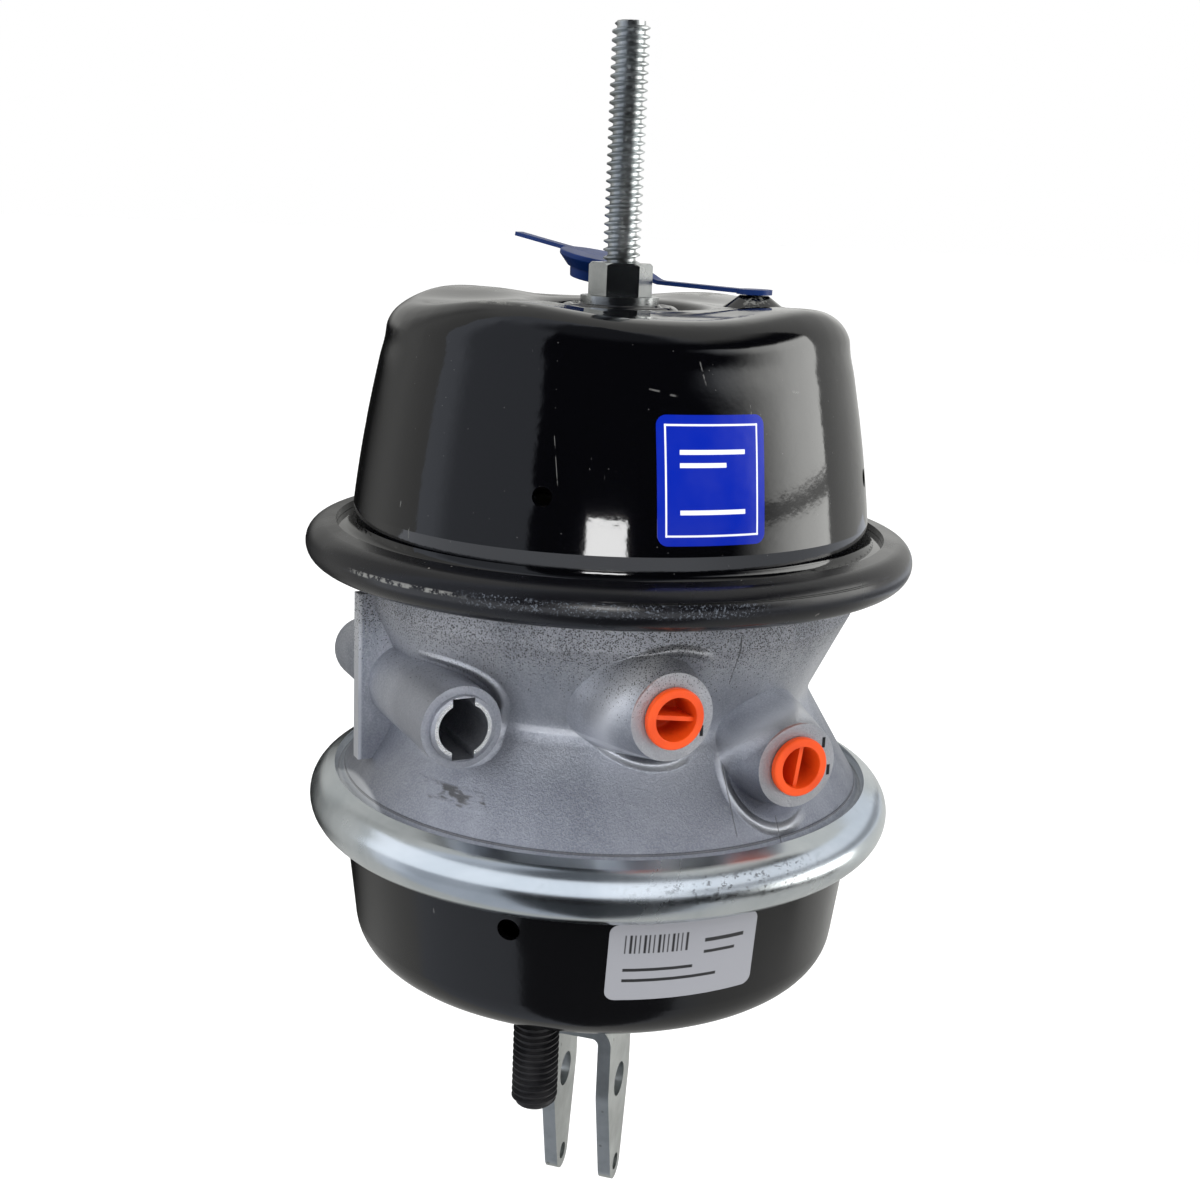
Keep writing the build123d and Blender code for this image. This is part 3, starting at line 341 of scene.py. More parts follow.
def stud_threads():
    """Both mounting studs, as one piece."""
    low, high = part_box("mounting_studs")
    stud = threaded_bar("mounting_stud_threads", STUD_R, STUD_PITCH, low.z, high.z,
                        STUD_CHAMFER)
    choose(stud)
    bpy.ops.object.duplicate()
    other = bpy.context.object
    for piece, azimuth in ((stud, STUD_AZ), (other, STUD_AZ + 180)):
        piece.data.transform(Matrix.Translation(polar(STUD_RING / 2, azimuth)))
    choose(stud, other)
    bpy.ops.object.join()
    return smooth(stud, THREAD_CREASE)


# ---- stickers ----------------------------------------------------------------------------
def round_corner(u, v, width, tall):
    """Pull a point of a sticker's rectangle inward where the rectangle's corner is."""
    past_u = abs(u) - (width / 2 - STICKER_CORNER)
    past_v = abs(v) - (tall / 2 - STICKER_CORNER)
    if min(past_u, past_v) > 0:
        a, b = past_u / STICKER_CORNER, past_v / STICKER_CORNER
        u -= math.copysign(past_u * (1 - math.sqrt(1 - b * b / 2)), u)
        v -= math.copysign(past_v * (1 - math.sqrt(1 - a * a / 2)), v)
    return u, v


def on_wall(wall, azimuth, z):
    """Place and normal of a round node's outside at an azimuth and a height."""
    _, place, normal, _ = wall.ray_cast(polar(OUTSIDE_R, azimuth, z), -polar(1, azimuth))
    return place, normal


def sticker(name, node, azimuth, heights, width):
    """Thin rounded label that lies on the outside of a round node."""
    low, high = heights
    tall = high - low
    across, along = STICKER_CELLS
    label = begin(name, bpy.ops.mesh.primitive_grid_add, x_subdivisions=across,
                  y_subdivisions=along, size=1)
    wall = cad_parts[node]
    for vertex in label.data.vertices:
        u, v = round_corner(vertex.co.x * width, vertex.co.y * tall, width, tall)
        z = (low + high) / 2 + v
        place, normal = on_wall(wall, azimuth, z)
        for _ in range(STICKER_PASSES):
            turn = azimuth + math.degrees(u / math.hypot(place.x, place.y))
            place, normal = on_wall(wall, turn, z)
        vertex.co = place + normal * STICKER_LIFT
    modify(label, "SOLIDIFY", thickness=STICKER_SHEET, offset=1.0)
    outward_normals(label)
    return smooth(label, STICKER_CREASE)


# ---- shader helper -----------------------------------------------------------------------
class Wire:
    """One value in a material's nodes; arithmetic on it adds Math nodes."""

    def __init__(self, tree, socket):
        self.tree = tree
        self.socket = socket

    def node(self, kind, settings=None, sockets=None, out=0):
        """Add any node: its settings first, then values or wires into its sockets.
        A list of outputs gives a list of wires."""
        made = self.tree.nodes.new(kind)
        for key, value in (settings or {}).items():
            setattr(made, key, value)
        for key, value in (sockets or {}).items():
            if isinstance(value, Wire):
                self.tree.links.new(value.socket, made.inputs[key])
            else:
                made.inputs[key].default_value = value
        if isinstance(out, list):
            return [Wire(self.tree, made.outputs[key]) for key in out]
        return Wire(self.tree, made.outputs[out] if made.outputs else None)

    def parts(self):
        """The three numbers of a vector."""
        return self.node("ShaderNodeSeparateXYZ", None, {0: self}, [0, 1, 2])

    def math(self, operation, *values):
        return self.node("ShaderNodeMath", {"operation": operation}, dict(enumerate(values)))

    def __add__(self, other):
        return self.math("ADD", self, other)

    def __radd__(self, other):
        return self.math("ADD", other, self)

    def __sub__(self, other):
        return self.math("SUBTRACT", self, other)

    def __rsub__(self, other):
        return self.math("SUBTRACT", other, self)

    def __mul__(self, other):
        return self.math("MULTIPLY", self, other)

    def __rmul__(self, other):
        return self.math("MULTIPLY", other, self)

    def __truediv__(self, other):
        return self.math("DIVIDE", self, other)

    def __pow__(self, other):
        return self.math("POWER", self, other)

    def __abs__(self):
        return self.math("ABSOLUTE", self)

    def at_least(self, other):
        return self.math("MAXIMUM", self, other)

    def at_most_one(self):
        return self.math("MINIMUM", self, 1.0)

    def rise(self, low, high):
        """0 below low, 1 above high, smooth between. Low may be above high."""
        return self.node("ShaderNodeMapRange", {"interpolation_type": "SMOOTHSTEP"},
                         {"Value": self, "From Min": low, "From Max": high})

    def span(self, start, full, fade, end):
        """1 from full to fade, 0 before start and after end."""
        return self.rise(start, full) * self.rise(end, fade)

    def near(self, centre, core, edge):
        """1 within core of the centre, 0 beyond edge."""
        return abs(self - centre).rise(edge, core)

    def mix(self, first, second):
        """Colour that goes from first to second as this value goes from 0 to 1."""
        return self.node("ShaderNodeMix", {"data_type": "RGBA"},
                         {"Factor": self, 6: colour(first), 7: colour(second)}, out=2)


def colour(value):
    """What a colour socket takes: a wire, or three numbers with an alpha of 1."""
    return value if isinstance(value, Wire) else (*value, 1)


def total(wires):
    """All the wires added up."""
    first, *rest = wires
    return sum(rest, first)


def azimuth_of(x, y):
    """Azimuth in degrees, from the wires of a place."""
    return y.math("ARCTAN2", y, x) * RADIAN


class Finish:
    """A material under construction, with the patterns that several finishes share."""

    def __init__(self, name):
        self.material = bpy.data.materials.new(name)
        self.material.use_nodes = True
        self.tree = self.material.node_tree
        self.tree.nodes.clear()
        self.seed = Wire(self.tree, None)
        self.place = self.seed.node("ShaderNodeTexCoord", out="Object")
        self.x, self.y, self.z = self.place.parts()

    @cached_property
    def azimuth(self):
        return azimuth_of(self.x, self.y)

    def stretched(self, scale, turn=(0, 0, 0)):
        """Object coordinates turned and then scaled by a different number each way."""
        return self.seed.node("ShaderNodeMapping", None,
                              {"Vector": self.place, "Scale": scale,
                               "Rotation": [math.radians(angle) for angle in turn]})

    def grain(self, scale, detail=3.0, rough=0.55, where=None, warp=0.0):
        """Cloudy noise."""
        sockets = {"Vector": where or self.place, "Scale": scale, "Detail": detail,
                   "Roughness": rough, "Distortion": warp}
        return self.seed.node("ShaderNodeTexNoise", None, sockets)

    def specks(self, scale, share, size=0.35):
        """Dots at random places: share is how many of the cells hold one."""
        near, tint = self.seed.node("ShaderNodeTexVoronoi", None,
                                    {"Vector": self.place, "Scale": scale},
                                    ["Distance", "Color"])
        draw = self.seed.node("ShaderNodeSeparateColor", None, {0: tint})
        return near.rise(size, size * 0.6) * (1 - draw.math("GREATER_THAN", draw, share))

    def scratches(self, scale, turn, amount):
        """Fine straight marks along one direction."""
        lines = self.grain(1.0, 2.0, 0.5, self.stretched((scale, scale, scale * 0.03), turn))
        patches = self.grain(45.0, 2.0, 0.5)
        return lines.rise(0.70, 0.74) * patches.rise(1 - amount, 1.02 - amount)

    def mark(self, radius, start, end, width):
        """One straight mark on a round wall, from one (azimuth, height in mm) to another."""
        arc = radius / RADIAN
        u = (self.azimuth - start[0]) * arc
        v = self.z - start[1] * MM
        run = Vector(((end[0] - start[0]) * arc, (end[1] - start[1]) * MM))
        along, unit = run.length, run.normalized()
        ahead = u * unit.x + v * unit.y
        aside = abs(v * unit.x - u * unit.y)
        ends = ahead.span(-0.2 * MM, 0.4 * MM, along - 2 * MM, along)
        return ends * aside.rise(width, width * 0.4)

    def bump(self, height, distance, strength=1.0, onto=None):
        """Relief, on top of another relief if one is given."""
        sockets = {"Height": height, "Distance": distance, "Strength": strength}
        if onto:
            sockets["Normal"] = onto
        return self.seed.node("ShaderNodeBump", None, sockets)

    def close(self, shader):
        self.seed.node("ShaderNodeOutputMaterial", None, {"Surface": shader})
        return self.material

    def done(self, **sockets):
        """Close the material with a Principled shader."""
        named = {key.replace("_", " "): value for key, value in sockets.items()}
        return self.close(self.seed.node("ShaderNodeBsdfPrincipled", None, named))

    def lit(self, tint, strength):
        """Close the material with plain light."""
        return self.close(self.seed.node("ShaderNodeEmission", None,
                                         {"Color": colour(tint), "Strength": strength}))


# ---- finishes ----------------------------------------------------------------------------
def gloss_black():
    """Head paint, with short marks and scuffed lobes."""
    f = Finish("gloss_black_paint")
    haze = f.grain(14.0, 4.0, 0.6)
    peel = f.grain(420.0, 2.0, 0.5)
    scuff = f.scratches(900.0, (0, 35, 0), 0.36) + f.scratches(700.0, (20, -50, 60), 0.34)
    dust = f.specks(900.0, 0.02, 0.22)
    marks = total(f.mark(HEAD_R, *ends) for ends in HEAD_MARKS)
    marks = marks * f.grain(420.0, 2.0, 0.6).rise(0.38, 0.5)
    wear_and_highlight = (scuff + marks).at_least(dust * 0.6)
    lobe = f.z.rise(*LOBE_SCUFF_Z) * f.grain(75.0, 5.0, 0.75).rise(0.50, 0.58)
    base = wear_and_highlight.mix((0.0010, 0.0010, 0.0016), (0.09, 0.09, 0.088))
    base = lobe.mix(base, (0.16, 0.16, 0.15))
    rough = 0.055 + haze.rise(0.35, 0.75) * 0.05 + wear_and_highlight * 0.25 + lobe * 0.3
    return f.done(Base_Color=base, Roughness=rough, IOR=1.6,
                  Normal=f.bump(peel, 0.00003, 0.6))


def satin_black():
    """Ring paint, with a fold line of painted shade and a rubbed strip round the front with a
    painted highlight.
    """
    f = Finish("satin_black_paint")
    haze = f.grain(30.0, 4.0, 0.6)
    peel = f.grain(700.0, 3.0, 0.6)
    scuff = f.scratches(500.0, (90, 0, 25), 0.40)
    up = f.z - CRIMP_Z
    fold = up.near(FOLD_UP, *FOLD_HALF) * f.azimuth.span(*FOLD_AZ)
    rubbed_sheen = (up.span(*RUBBED_SHEEN_UP) * f.azimuth.span(*RUBBED_SHEEN_AZ)
              * f.grain(1300.0, 4.0, 0.7).rise(0.54, 0.62))
    streak = (up.near(STREAK_UP, *STREAK_HALF) * f.azimuth.span(*STREAK_AZ)
              * f.grain(330.0, 4.0, 0.75).rise(0.42, 0.54))
    rust = up.rise(*RUST_UP) * f.azimuth.span(*RUST_AZ) * f.grain(500.0).rise(0.4, 0.6)
    base = scuff.mix((0.003, 0.003, 0.0045), (0.16, 0.15, 0.14))
    # rubbed specks, lightened and tinted bluish as a painted highlight
    base = (rubbed_sheen * 0.75).mix(base, (0.10, 0.115, 0.14))
    base = (streak * 0.8).mix(base, (0.22, 0.22, 0.21))
    base = (rust * 0.5).mix(base, (0.10, 0.035, 0.02))
    # painted shade: a near-black line along the fold's crease
    base = fold.mix(base, (0.001, 0.001, 0.001))
    rough = 0.22 + haze.rise(0.3, 0.75) * 0.14 + scuff * 0.2 + rubbed_sheen * 0.15 + streak * 0.2
    fine = f.bump(peel, 0.00004, 0.6)
    return f.done(Base_Color=base, Roughness=rough, IOR=1.5,
                  Normal=f.bump(-1 * fold, 0.0004, 1.0, fine))


def lower_black():
    """Housing paint."""
    f = Finish("lower_black_paint")
    haze = f.grain(18.0, 4.0, 0.6)
    peel = f.grain(500.0, 2.0, 0.5)
    scuff = f.scratches(800.0, (0, 60, 10), 0.36)
    base = scuff.mix((0.0025, 0.0025, 0.003), (0.08, 0.08, 0.08))
    rough = 0.12 + haze.rise(0.35, 0.75) * 0.12 + scuff * 0.2
    return f.done(Base_Color=base, Roughness=rough, IOR=1.55,
                  Normal=f.bump(peel, 0.00003, 0.6))


def at_face(depth, face):
    """1 on a milled face that looks along the depth direction."""
    return depth.rise(face - FACE_SKIN, face - 0.4 * FACE_SKIN)


def fairings(f, across, depth):
    """Ridges round the bosses and the tube, with a painted highlight, and the painted shade of
    the dishes inside the ridges.
    """
    ridges, dish_shades = [], []
    for (along, z, wide, tall), fade, ridge_share, dish_shade_share in FAIRINGS:
        u = (across - along * MM) / (wide * MM)
        v = (f.z - z * MM) / (tall * MM)
        reach = (u ** 2 + v ** 2) ** 0.5
        shown = across.rise(*(edge * MM for edge in fade)) * depth.rise(*FAIRING_DEPTH)
        ridges.append(reach.span(*FAIRING_RIDGE) * shown * ridge_share)
        dish_shades.append(reach.span(*FAIRING_DISH_SHADE) * shown * dish_shade_share)
    return total(ridges), total(dish_shades)


def parting_seams(f, across, depth):
    """Upright dark lines on the front of the casting."""
    lines = (across.near(along * MM, *SEAM_HALF)
             * f.z.span((low - 1) * MM, low * MM, high * MM, (high + 1) * MM)
             for along, low, high in SEAMS)
    return total(lines) * depth.rise(*SEAM_DEPTH)


def smeared_pad(f, across, depth):
    """A small raised pad, and the dirt that is smeared over it."""
    along, z, wide, tall = (size * MM for size in PAD)
    pad = (across.near(along, wide - MM, wide) * f.z.near(z, tall - MM, tall)
           * depth.rise(*PAD_DEPTH))
    dirt = f.grain(150.0, 3.0, 0.6, f.stretched((0.5, 0.5, 1.6)))
    return pad, pad * dirt.rise(0.50, 0.60)


def die_cast():
    """Raw cast aluminium: flow marks, black overspray under the ring, milled faces, painted
    highlights and painted shade.
    """
    f = Finish("die_cast_aluminium")
    flow = f.grain(22.0, 5.0, 0.62, f.stretched((1, 1, 0.45), (0, 20, 30)), 0.6)
    grit = f.grain(1500.0, 4.0, 0.7)
    pits = f.grain(260.0, 3.0, 0.6)
    side = polar(1, SIDE_AZ)
    depth = f.x * side.x + f.y * side.y
    across = f.y * side.x - f.x * side.y

    # milled faces, the tube's rim and the small strokes beside the ports
    port_face = at_face(abs(depth), PORT_FACE)
    from_tube = ((across - TUBE_ACROSS) ** 2 + (f.z - TUBE_Z) ** 2) ** 0.5
    lip = at_face(depth, TUBE_MOUTH) * from_tube.rise(TUBE_RIM_R + 0.3 * MM, TUBE_RIM_R)
    milled = (port_face * 0.35).at_least(lip)
    ticks = port_face * total(
        across.near(along * MM, *TICK_ACROSS_HALF) * f.z.near(z * MM, *TICK_UP_HALF)
        for along, z in TICKS)

    # relief
    ridge, dish_shade = fairings(f, across, depth)
    seam = parting_seams(f, across, depth)
    pad, smear = smeared_pad(f, across, depth)
    foot = f.z.near(FOOT_LINE_Z, *FOOT_LINE_HALF)
    collar = (depth.rise(TUBE_MOUTH - 0.4 * MM, TUBE_MOUTH - 0.2 * MM)
              * from_tube.rise(*TUBE_COLLAR_R))

    # dirt, painted highlights on the ridges, the waist and the gusset's edge, and painted shade
    # in the foot groove
    waist_highlight = (f.z.near(WAIST_Z, *WAIST_UP_HALF)
             * across.near(WAIST_ACROSS, *WAIST_ACROSS_HALF))
    # painted highlights: the ridges, the waist line and the gusset's edge are lightened as if lit
    wear_and_highlight = ridge * 0.85 + waist_highlight * 0.6 + across.rise(*GUSSET_EDGE) * 0.8
    near_ring = f.z.rise(*SPRAY_Z)
    spray = (f.specks(1500.0, near_ring * 0.7, 0.45)
             + f.specks(2600.0, near_ring * 0.6, 0.45) * 0.8)
    # overspray, smeared dirt and dark seam lines, plus painted shade in the foot groove
    soot_and_groove_shade = near_ring * near_ring * 0.45 + smear * 0.85 + seam * 0.5 + foot * 0.6
    dark = (spray * 0.8 + soot_and_groove_shade).at_most_one() * (1 - milled * 0.85)

    tone = flow.rise(0.25, 0.75).mix((0.24, 0.26, 0.305), (0.53, 0.545, 0.59))
    glints = grit.rise(0.40, 0.66) * 0.5 + pits.rise(0.60, 0.72) * 0.2
    tone = glints.mix(tone, (0.70, 0.71, 0.74))
    # painted shade: darker towards the bottom, and darker in the dishes inside the fairings
    tone = (f.z.rise(*LOWER_SHADE_Z) * 0.42 + dish_shade * 0.40).mix(tone, (0.16, 0.165, 0.20))
    tone = wear_and_highlight.mix(tone, (0.84, 0.85, 0.88))
    tone = milled.mix(tone, (0.80, 0.80, 0.79))
    base = dark.at_least(ticks).mix(tone, (0.035, 0.035, 0.037))
    rough = 0.42 - flow.rise(0.3, 0.8) * 0.10 + dark * 0.15 - milled * 0.10
    relief = ridge * 2.0 + pad * 0.1 - (seam + foot) * 0.3 + collar * 1.7
    fine = f.bump(grit + pits * 0.6, 0.00030, 0.8)
    return f.done(Base_Color=base, Roughness=rough, Metallic=0.88 - dark * 0.8,
                  Normal=f.bump(relief, 0.0009, 1.0, fine))


def bright_zinc():
    """Clamp band: clouded bright zinc with a scuffed patch and a few chips."""
    f = Finish("bright_zinc_band")
    cloud = f.grain(16.0, 5.0, 0.6, None, 0.8)
    streak = f.grain(1.0, 3.0, 0.6, f.stretched((25, 25, 600)))
    grit = f.grain(1100.0, 3.0, 0.6)
    stain = f.grain(60.0, 4.0, 0.65).rise(0.60, 0.80)
    tone = cloud.rise(0.3, 0.7).mix((0.56, 0.61, 0.64), (0.74, 0.78, 0.80))
    tone = (stain * 0.4).mix(tone, (0.42, 0.46, 0.47))
    patch = f.azimuth.span(*CLAMP_SCUFF_AZ) * f.z.near(CLAMP_SCUFF_Z, *CLAMP_SCUFF_HALF)
    rubs = f.grain(330.0, 5.0, 0.8, f.stretched((1.0, 1.0, 1.5))).rise(0.535, 0.60)
    chips = f.specks(110.0, 0.03, 0.20)
    tone = (rubs * patch * 0.75 + chips).at_most_one().mix(tone, (0.14, 0.14, 0.14))
    rough = 0.17 + cloud.rise(0.35, 0.8) * 0.12 + stain * 0.12 + streak * 0.04
    return f.done(Base_Color=tone, Roughness=rough, Metallic=1.0,
                  Normal=f.bump(streak * 0.5 + grit * 0.5, 0.00003, 0.5))


def zinc_plate(name, light, dark, roughness):
    """Plated or bare metal on hardware, brighter or duller by its two colours."""
    f = Finish(name)
    cloud = f.grain(70.0, 4.0, 0.6)
    grit = f.grain(1500.0, 3.0, 0.6)
    spots = f.specks(300.0, 0.10, 0.25)
    tone = cloud.rise(0.3, 0.7).mix(dark, light)
    tone = (spots * 0.5).mix(tone, (0.25, 0.25, 0.23))
    rough = roughness + cloud.rise(0.4, 0.8) * 0.12 + spots * 0.15
    return f.done(Base_Color=tone, Roughness=rough, Metallic=1.0,
                  Normal=f.bump(grit, 0.00003, 0.5))


def phosphate():
    """Dark coating of the studs and the power spring."""
    f = Finish("black_phosphate")
    cloud = f.grain(120.0, 4.0, 0.6)
    grit = f.grain(2200.0, 3.0, 0.6)
    tone = cloud.rise(0.3, 0.75).mix((0.010, 0.010, 0.012), (0.035, 0.034, 0.036))
    return f.done(Base_Color=tone, Roughness=0.42 + cloud * 0.2, Metallic=0.3,
                  Normal=f.bump(grit, 0.00005, 0.6))


def moulded(name, shade, deep, roughness):
    """Moulded plastic with a faint mottle and a fine skin texture."""
    f = Finish(name)
    cloud = f.grain(90.0, 3.0, 0.5)
    skin = f.grain(1300.0, 2.0, 0.5)
    tone = cloud.rise(0.3, 0.75).mix(shade, deep)
    return f.done(Base_Color=tone, Roughness=roughness + cloud * 0.12, IOR=1.38,
                  Normal=f.bump(skin, 0.00003, 0.6))


def rubber():
    """Diaphragms and seal."""
    f = Finish("black_rubber")
    cloud = f.grain(60.0, 4.0, 0.6)
    weave = f.grain(900.0, 2.0, 0.5)
    tone = cloud.rise(0.3, 0.75).mix((0.015, 0.015, 0.015), (0.035, 0.034, 0.033))
    return f.done(Base_Color=tone, Roughness=0.6 + cloud * 0.2,
                  Normal=f.bump(weave, 0.0001, 0.6))


def bars(u, v, rows):
    """Plain bars: 1 inside any of the (u from, u to, v from, v to) boxes."""
    def inside(wire, low, high):
        return wire.span(low - BAR_BLUR, low + BAR_BLUR, high - BAR_BLUR, high + BAR_BLUR)
    return total(inside(u, *row[:2]) * inside(v, *row[2:]) for row in rows).at_most_one()


def sticker_finish(name, ground, ink, rows, roughness):
    """Printed sticker: ink bars on a plain ground, lightly worn."""
    f = Finish(name)
    u, v, _ = f.seed.node("ShaderNodeTexCoord", out="UV").parts()
    cloud = f.grain(80.0, 3.0, 0.5)
    wear = f.scratches(900.0, (0, 30, 0), 0.36)
    tone = bars(u, v, rows).mix(ground, ink)
    tone = (cloud.rise(0.3, 0.8) * 0.012 + wear * 0.10).mix(tone, (0.5, 0.5, 0.5))
    crinkle = f.grain(160.0, 2.0, 0.5)
    return f.done(Base_Color=tone, Roughness=roughness + cloud * 0.1, IOR=1.45,
                  Normal=f.bump(crinkle, 0.00006, 0.5))


def frame_rows(inset, line):
    """Four thin bars that make a rectangle just inside a sticker's edge."""
    far = 1 - inset
    return [(inset, far, inset, inset + line), (inset, far, far - line, far),
            (inset, inset + line, inset, far), (far - line, far, inset, far)]


def blue_sticker():
    rows = frame_rows(0.07, 0.014)
    rows += [(0.2, 0.8, 0.70, 0.735), (0.2, 0.62, 0.60, 0.635), (0.2, 0.8, 0.24, 0.275)]
    return sticker_finish("blue_sticker", (0.001, 0.015, 0.33), (0.85, 0.88, 0.95), rows, 0.10)


def paper_sticker():
    """Fourteen upright strokes above four long bars."""
    rows = []
    for k in range(14):
        start = 0.10 + 0.03 * k
        rows.append((start, start + (0.008, 0.016, 0.010)[k % 3], 0.62, 0.86))
    rows += [(0.62, 0.90, 0.70, 0.75), (0.62, 0.84, 0.55, 0.59),
             (0.10, 0.55, 0.38, 0.42), (0.10, 0.72, 0.24, 0.28)]
    return sticker_finish("paper_sticker", (0.28, 0.285, 0.31), (0.02, 0.02, 0.022), rows, 0.30)


# ---- the pieces made here ----------------------------------------------------------------
bolt = release_thread()
studs = stud_threads()
head_label = sticker("head_label", "power_head", HEAD_STICKER_AZ, HEAD_STICKER_Z,
                     HEAD_STICKER_WIDTH)
housing_label = sticker("housing_label", "service_housing", HOUSING_STICKER_AZ,
                        HOUSING_STICKER_Z, HOUSING_STICKER_WIDTH)

zinc_bolt = zinc_plate("zinc_thread", (0.70, 0.73, 0.74), (0.46, 0.48, 0.48), 0.32)
zinc_hardware = zinc_plate("zinc_hardware", (0.66, 0.68, 0.68), (0.48, 0.50, 0.50), 0.20)
zinc_dull = zinc_plate("zinc_yoke", (0.60, 0.62, 0.61), (0.42, 0.44, 0.43), 0.30)
steel = zinc_plate("bare_steel", (0.42, 0.42, 0.42), (0.30, 0.30, 0.30), 0.32)
black_steel = phosphate()
head_black = gloss_black()
ring_black = satin_black()
housing_black = lower_black()
casting = die_cast()
band_zinc = bright_zinc()
orange = moulded("orange_plastic", (0.74, 0.075, 0.008), (0.62, 0.055, 0.006), 0.30)
blue = moulded("blue_plastic", (0.004, 0.028, 0.15), (0.003, 0.022, 0.12), 0.36)
nylon = moulded("guide_nylon", (0.70, 0.68, 0.62), (0.62, 0.60, 0.55), 0.4)
black_rubber = rubber()

NODE_FINISHES = {
    "power_head": head_black, "crimp_ring": ring_black, "service_housing": housing_black,
    "flange_case": casting, "clamp_band": band_zinc, "clamp_bolt": zinc_hardware,
    "clamp_nut": zinc_hardware, "release_nut": zinc_hardware,
    "release_washer": zinc_hardware, "release_bolt": zinc_bolt, "release_cross_pin": steel,
    "clevis": zinc_dull, "push_rod": zinc_dull, "push_plate": steel, "adapter_plate": steel,
    "adapter_rod": steel, "pressure_plate": steel, "mounting_studs": black_steel,
    "stud_reinforcement_plate": housing_black, "service_diaphragm": black_rubber,
    "spring_diaphragm": black_rubber, "rod_seal": black_rubber, "rod_guide_bushing": nylon,
    "power_spring": black_steel, "service_return_spring": steel,
    "adapter_return_spring": steel, "dust_plug_strap": blue,
    "spring_port_plug_front": orange, "service_port_plug_front": orange,
    "spring_port_plug_rear": orange, "service_port_plug_rear": orange,
}


def dress(piece, finish):
    """Give a piece one material, in every slot that it has."""
    if not piece.data.materials:
        piece.data.materials.append(finish)
    for holder in piece.material_slots:
        holder.material = finish


for node, finish in NODE_FINISHES.items():
    dress(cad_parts[node], finish)
for piece, finish in ((bolt, zinc_bolt), (studs, black_steel), (head_label, blue_sticker()),
                      (housing_label, paper_sticker())):
    dress(piece, finish)
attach(bolt, "power_piston")
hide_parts("release_bolt")
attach(studs, "chamber")
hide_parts("mounting_studs")
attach(head_label, "chamber")
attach(housing_label, "chamber")


# ---- camera, floor and light -------------------------------------------------------------
def placed(name, data, place, turn):
    """Object for a camera or a light, at a place and turned."""
    holder = bpy.data.objects.new(name, data)
    bpy.context.scene.collection.objects.link(holder)
    holder.matrix_world = Matrix.Translation(place) @ turn.to_4x4()
    return holder


def camera():
    yaw, pitch, roll = (math.radians(a) for a in (CAMERA_YAW, CAMERA_PITCH, CAMERA_ROLL))
    ahead = Vector((math.sin(yaw), math.cos(yaw), 0))
    right = Vector((math.cos(yaw), -math.sin(yaw), 0))
    up = Vector((0, 0, 1))
    look = ahead * math.cos(pitch) - up * math.sin(pitch)
    top = up * math.cos(pitch) + ahead * math.sin(pitch)
    side = right * math.cos(roll) + top * math.sin(roll)
    top = top * math.cos(roll) - right * math.sin(roll)
    data = bpy.data.cameras.new("camera")
    data.lens = CAMERA_LENS
    data.sensor_width = SENSOR
    data.clip_start, data.clip_end = CAMERA_CLIP
    turn = Matrix((side, top, -look)).transposed()
    bpy.context.scene.camera = placed("camera", data, CAMERA_AT, turn)


def floor():
    """Plain pale floor."""
    disc = begin("floor", bpy.ops.mesh.primitive_circle_add, vertices=FLOOR_SIDES, radius=FLOOR_R,
                 fill_type="NGON", location=(0, 0, FLOOR_Z))
    settle(disc)
    f = Finish("pale_floor")
    tone = f.grain(3.0).mix((0.86, 0.86, 0.86), (0.88, 0.88, 0.88))
    dress(disc, f.done(Base_Color=tone, Roughness=0.8, Emission_Color=(1, 1, 1, 1),
                       Emission_Strength=FLOOR_GLOW))
    disc.visible_glossy = False


def unseen(shell, light):
    """Let nothing but reflections see a lit shell."""
    light.cycles.emission_sampling = "NONE"
    dress(shell, light)
    for ray in ("camera", "diffuse", "transmission", "volume_scatter", "shadow"):
        setattr(shell, f"visible_{ray}", False)


def room():
    """Shell that only reflections see: a dark room with a wide window on the right."""
    shell = begin("room", bpy.ops.mesh.primitive_uv_sphere_add, segments=ROOM_SIDES,
                  ring_count=ROOM_RINGS, radius=ROOM_R)
    smooth(shell, 180)
    f = Finish("room_light")
    x, y, z = f.seed.node("ShaderNodeVectorMath", {"operation": "NORMALIZE"},
                          {0: f.place}).parts()
    turn = azimuth_of(x, y)
    height = z.math("ARCSINE", z) * RADIAN

    start, full, fade, end = WINDOW_AZ
    start = height.rise(*WINDOW_WIDER_HEIGHT) * -WINDOW_WIDER + start
    window = turn.span(start, full, fade, end) * height.span(*WINDOW_HEIGHT)
    bar = (height + turn * BAR_SLOPE).near(BAR_HEIGHT, *BAR_HALF)
    right = turn.span(*RIGHT_AZ)
    left = (turn.rise(*LEFT_AZ) * (1 + turn.rise(*FAR_LEFT_AZ) * FAR_LEFT_MORE)
            + turn.rise(*REAR_LEFT_AZ) * REAR_LEFT_SHARE)
    back = turn.span(*BACK_AZ) * height.rise(*BACK_HEIGHT)
    glow = (ROOM_GLOW + window * (1 - bar * BAR_DIM) * WINDOW_GLOW + right * RIGHT_GLOW
            + left * LEFT_GLOW + back * BACK_GLOW)

    below = height.rise(*BELOW_HEIGHT)
    below_glow = BELOW_GLOW - turn.span(*FRONT_AZ) * BELOW_FRONT_DIM
    above = height.rise(*ABOVE_HEIGHT)
    above_glow = ABOVE_GLOW - turn.span(*OVERHEAD_AZ) * OVERHEAD_DIM
    glow = glow * (1 - below) + below * below_glow
    glow = glow * (1 - above) + above * above_glow
    tint = turn.rise(*COOL_AZ).mix((0.90, 0.96, 1.08), (1.0, 1.0, 0.97))
    unseen(shell, f.lit(tint, glow))


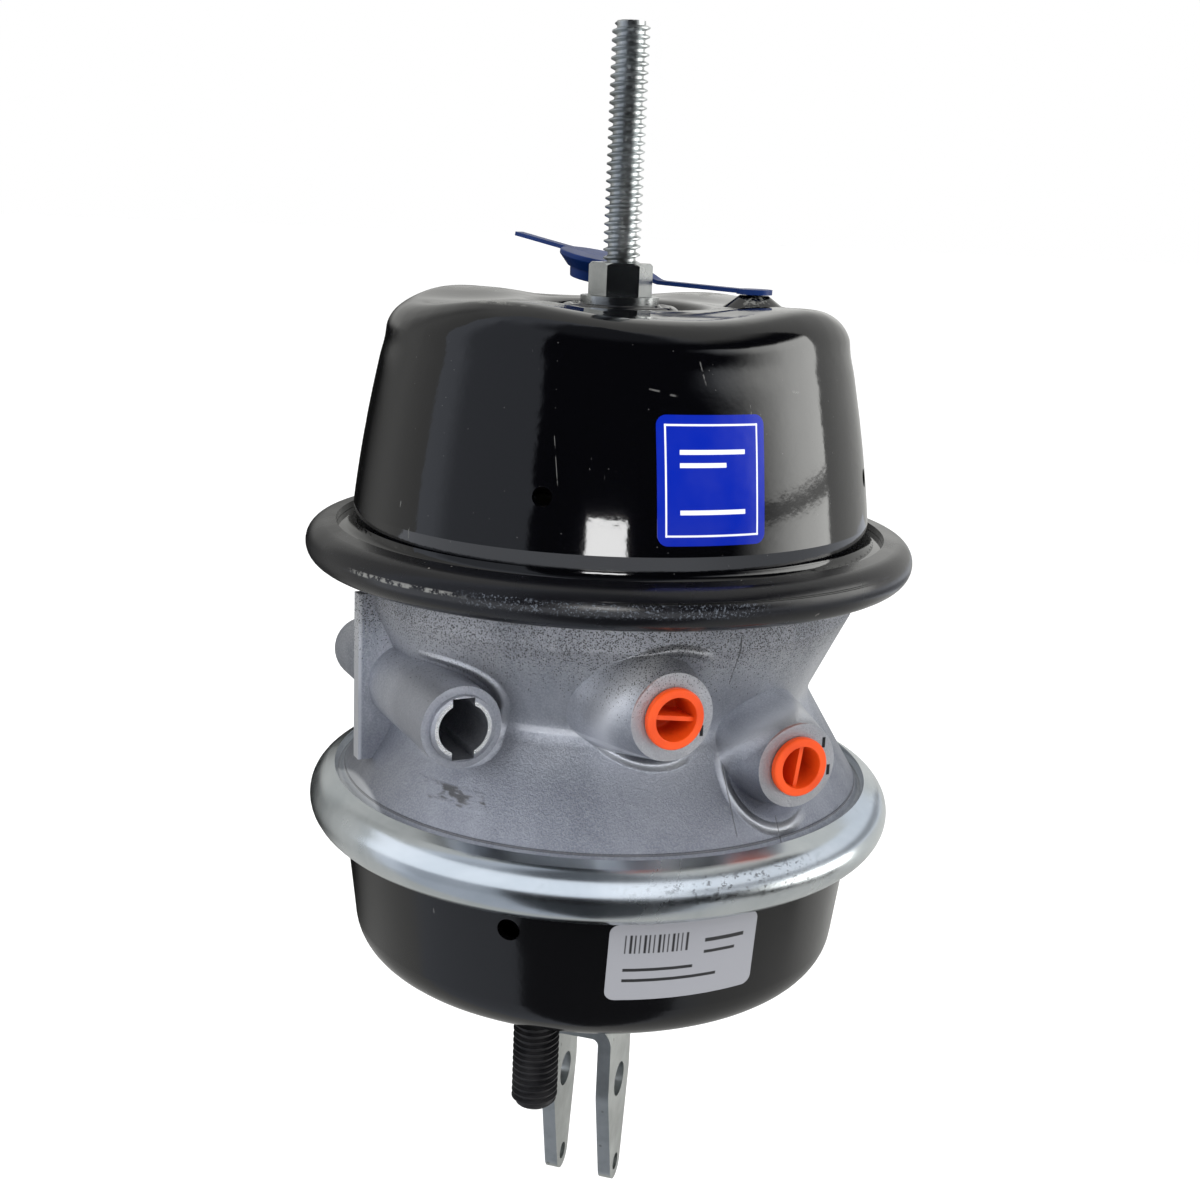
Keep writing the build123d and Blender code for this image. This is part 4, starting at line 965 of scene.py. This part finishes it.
def arc_sheet(name, radius, heights, azimuths):
    """Upright sheet, bent round the chamber's axis between two azimuths."""
    low, high = heights
    sheet = begin(name, bpy.ops.mesh.primitive_cylinder_add, vertices=ARC_SIDES,
                  radius=radius, depth=high - low, end_fill_type="NOTHING",
                  location=(0, 0, (low + high) / 2))
    settle(sheet)

    def outside(face):
        middle = face.calc_center_median()
        return not azimuths[0] < math.degrees(math.atan2(middle.y, middle.x)) < azimuths[1]

    with editing(sheet) as mesh:
        pick(mesh, mesh.faces, outside)
        bpy.ops.mesh.delete(type="FACE")
    return sheet


def card():
    """Curved white card with a shelf, low in front of the chamber, that only reflections see."""
    sheet = arc_sheet("card", CARD_R, CARD_Z, CARD_AZ)
    top = CARD_Z[1]
    inward = CARD_SHELF_R / CARD_R
    with editing(sheet, "EDGE") as mesh:
        pick(mesh, mesh.edges, lambda edge: all(v.co.z > top - MM for v in edge.verts))
        bpy.ops.mesh.extrude_region_move()
        bpy.ops.transform.resize(value=(inward, inward, 1), center_override=(0, 0, top))
    f = Finish("card_light")
    strip = f.azimuth.rise(*CARD_STRIP_AZ) * f.z.span(*CARD_STRIP_Z)
    glow = CARD_LIGHT - f.azimuth.rise(*CARD_FADE_AZ) * CARD_FADE - strip * CARD_STRIP
    unseen(sheet, f.lit((0.93, 0.97, 1.05), glow))


def lamp():
    """Small lamp that only reflections see."""
    sheet = arc_sheet("lamp", CARD_R, LAMP_Z, LAMP_AZ)
    unseen(sheet, Finish("lamp_light").lit((1, 1, 1), LAMP_LIGHT))


def soft_light(name, place, size, power, tint):
    """Square light aimed at the chamber's middle, which reflections do not see."""
    data = bpy.data.lights.new(name, "AREA")
    data.shape = "SQUARE"
    data.size = size
    data.energy = power
    data.color = tint
    aim = (LIGHTS_AIM - Vector(place)).to_track_quat("-Z", "Y").to_matrix()
    placed(name, data, place, aim).visible_glossy = False


def sky():
    """Even white surroundings, which reflections do not see."""
    world = bpy.data.worlds.new("studio")
    world.use_nodes = True
    background = world.node_tree.nodes["Background"]
    background.inputs["Color"].default_value = (1.0, 1.0, 1.0, 1)
    background.inputs["Strength"].default_value = 1.0
    world.cycles_visibility.glossy = False
    bpy.context.scene.world = world


camera()
floor()
room()
card()
lamp()
sky()
for light in SOFT_LIGHTS:
    soft_light(*light)
bpy.context.scene.view_settings.view_transform = "Standard"
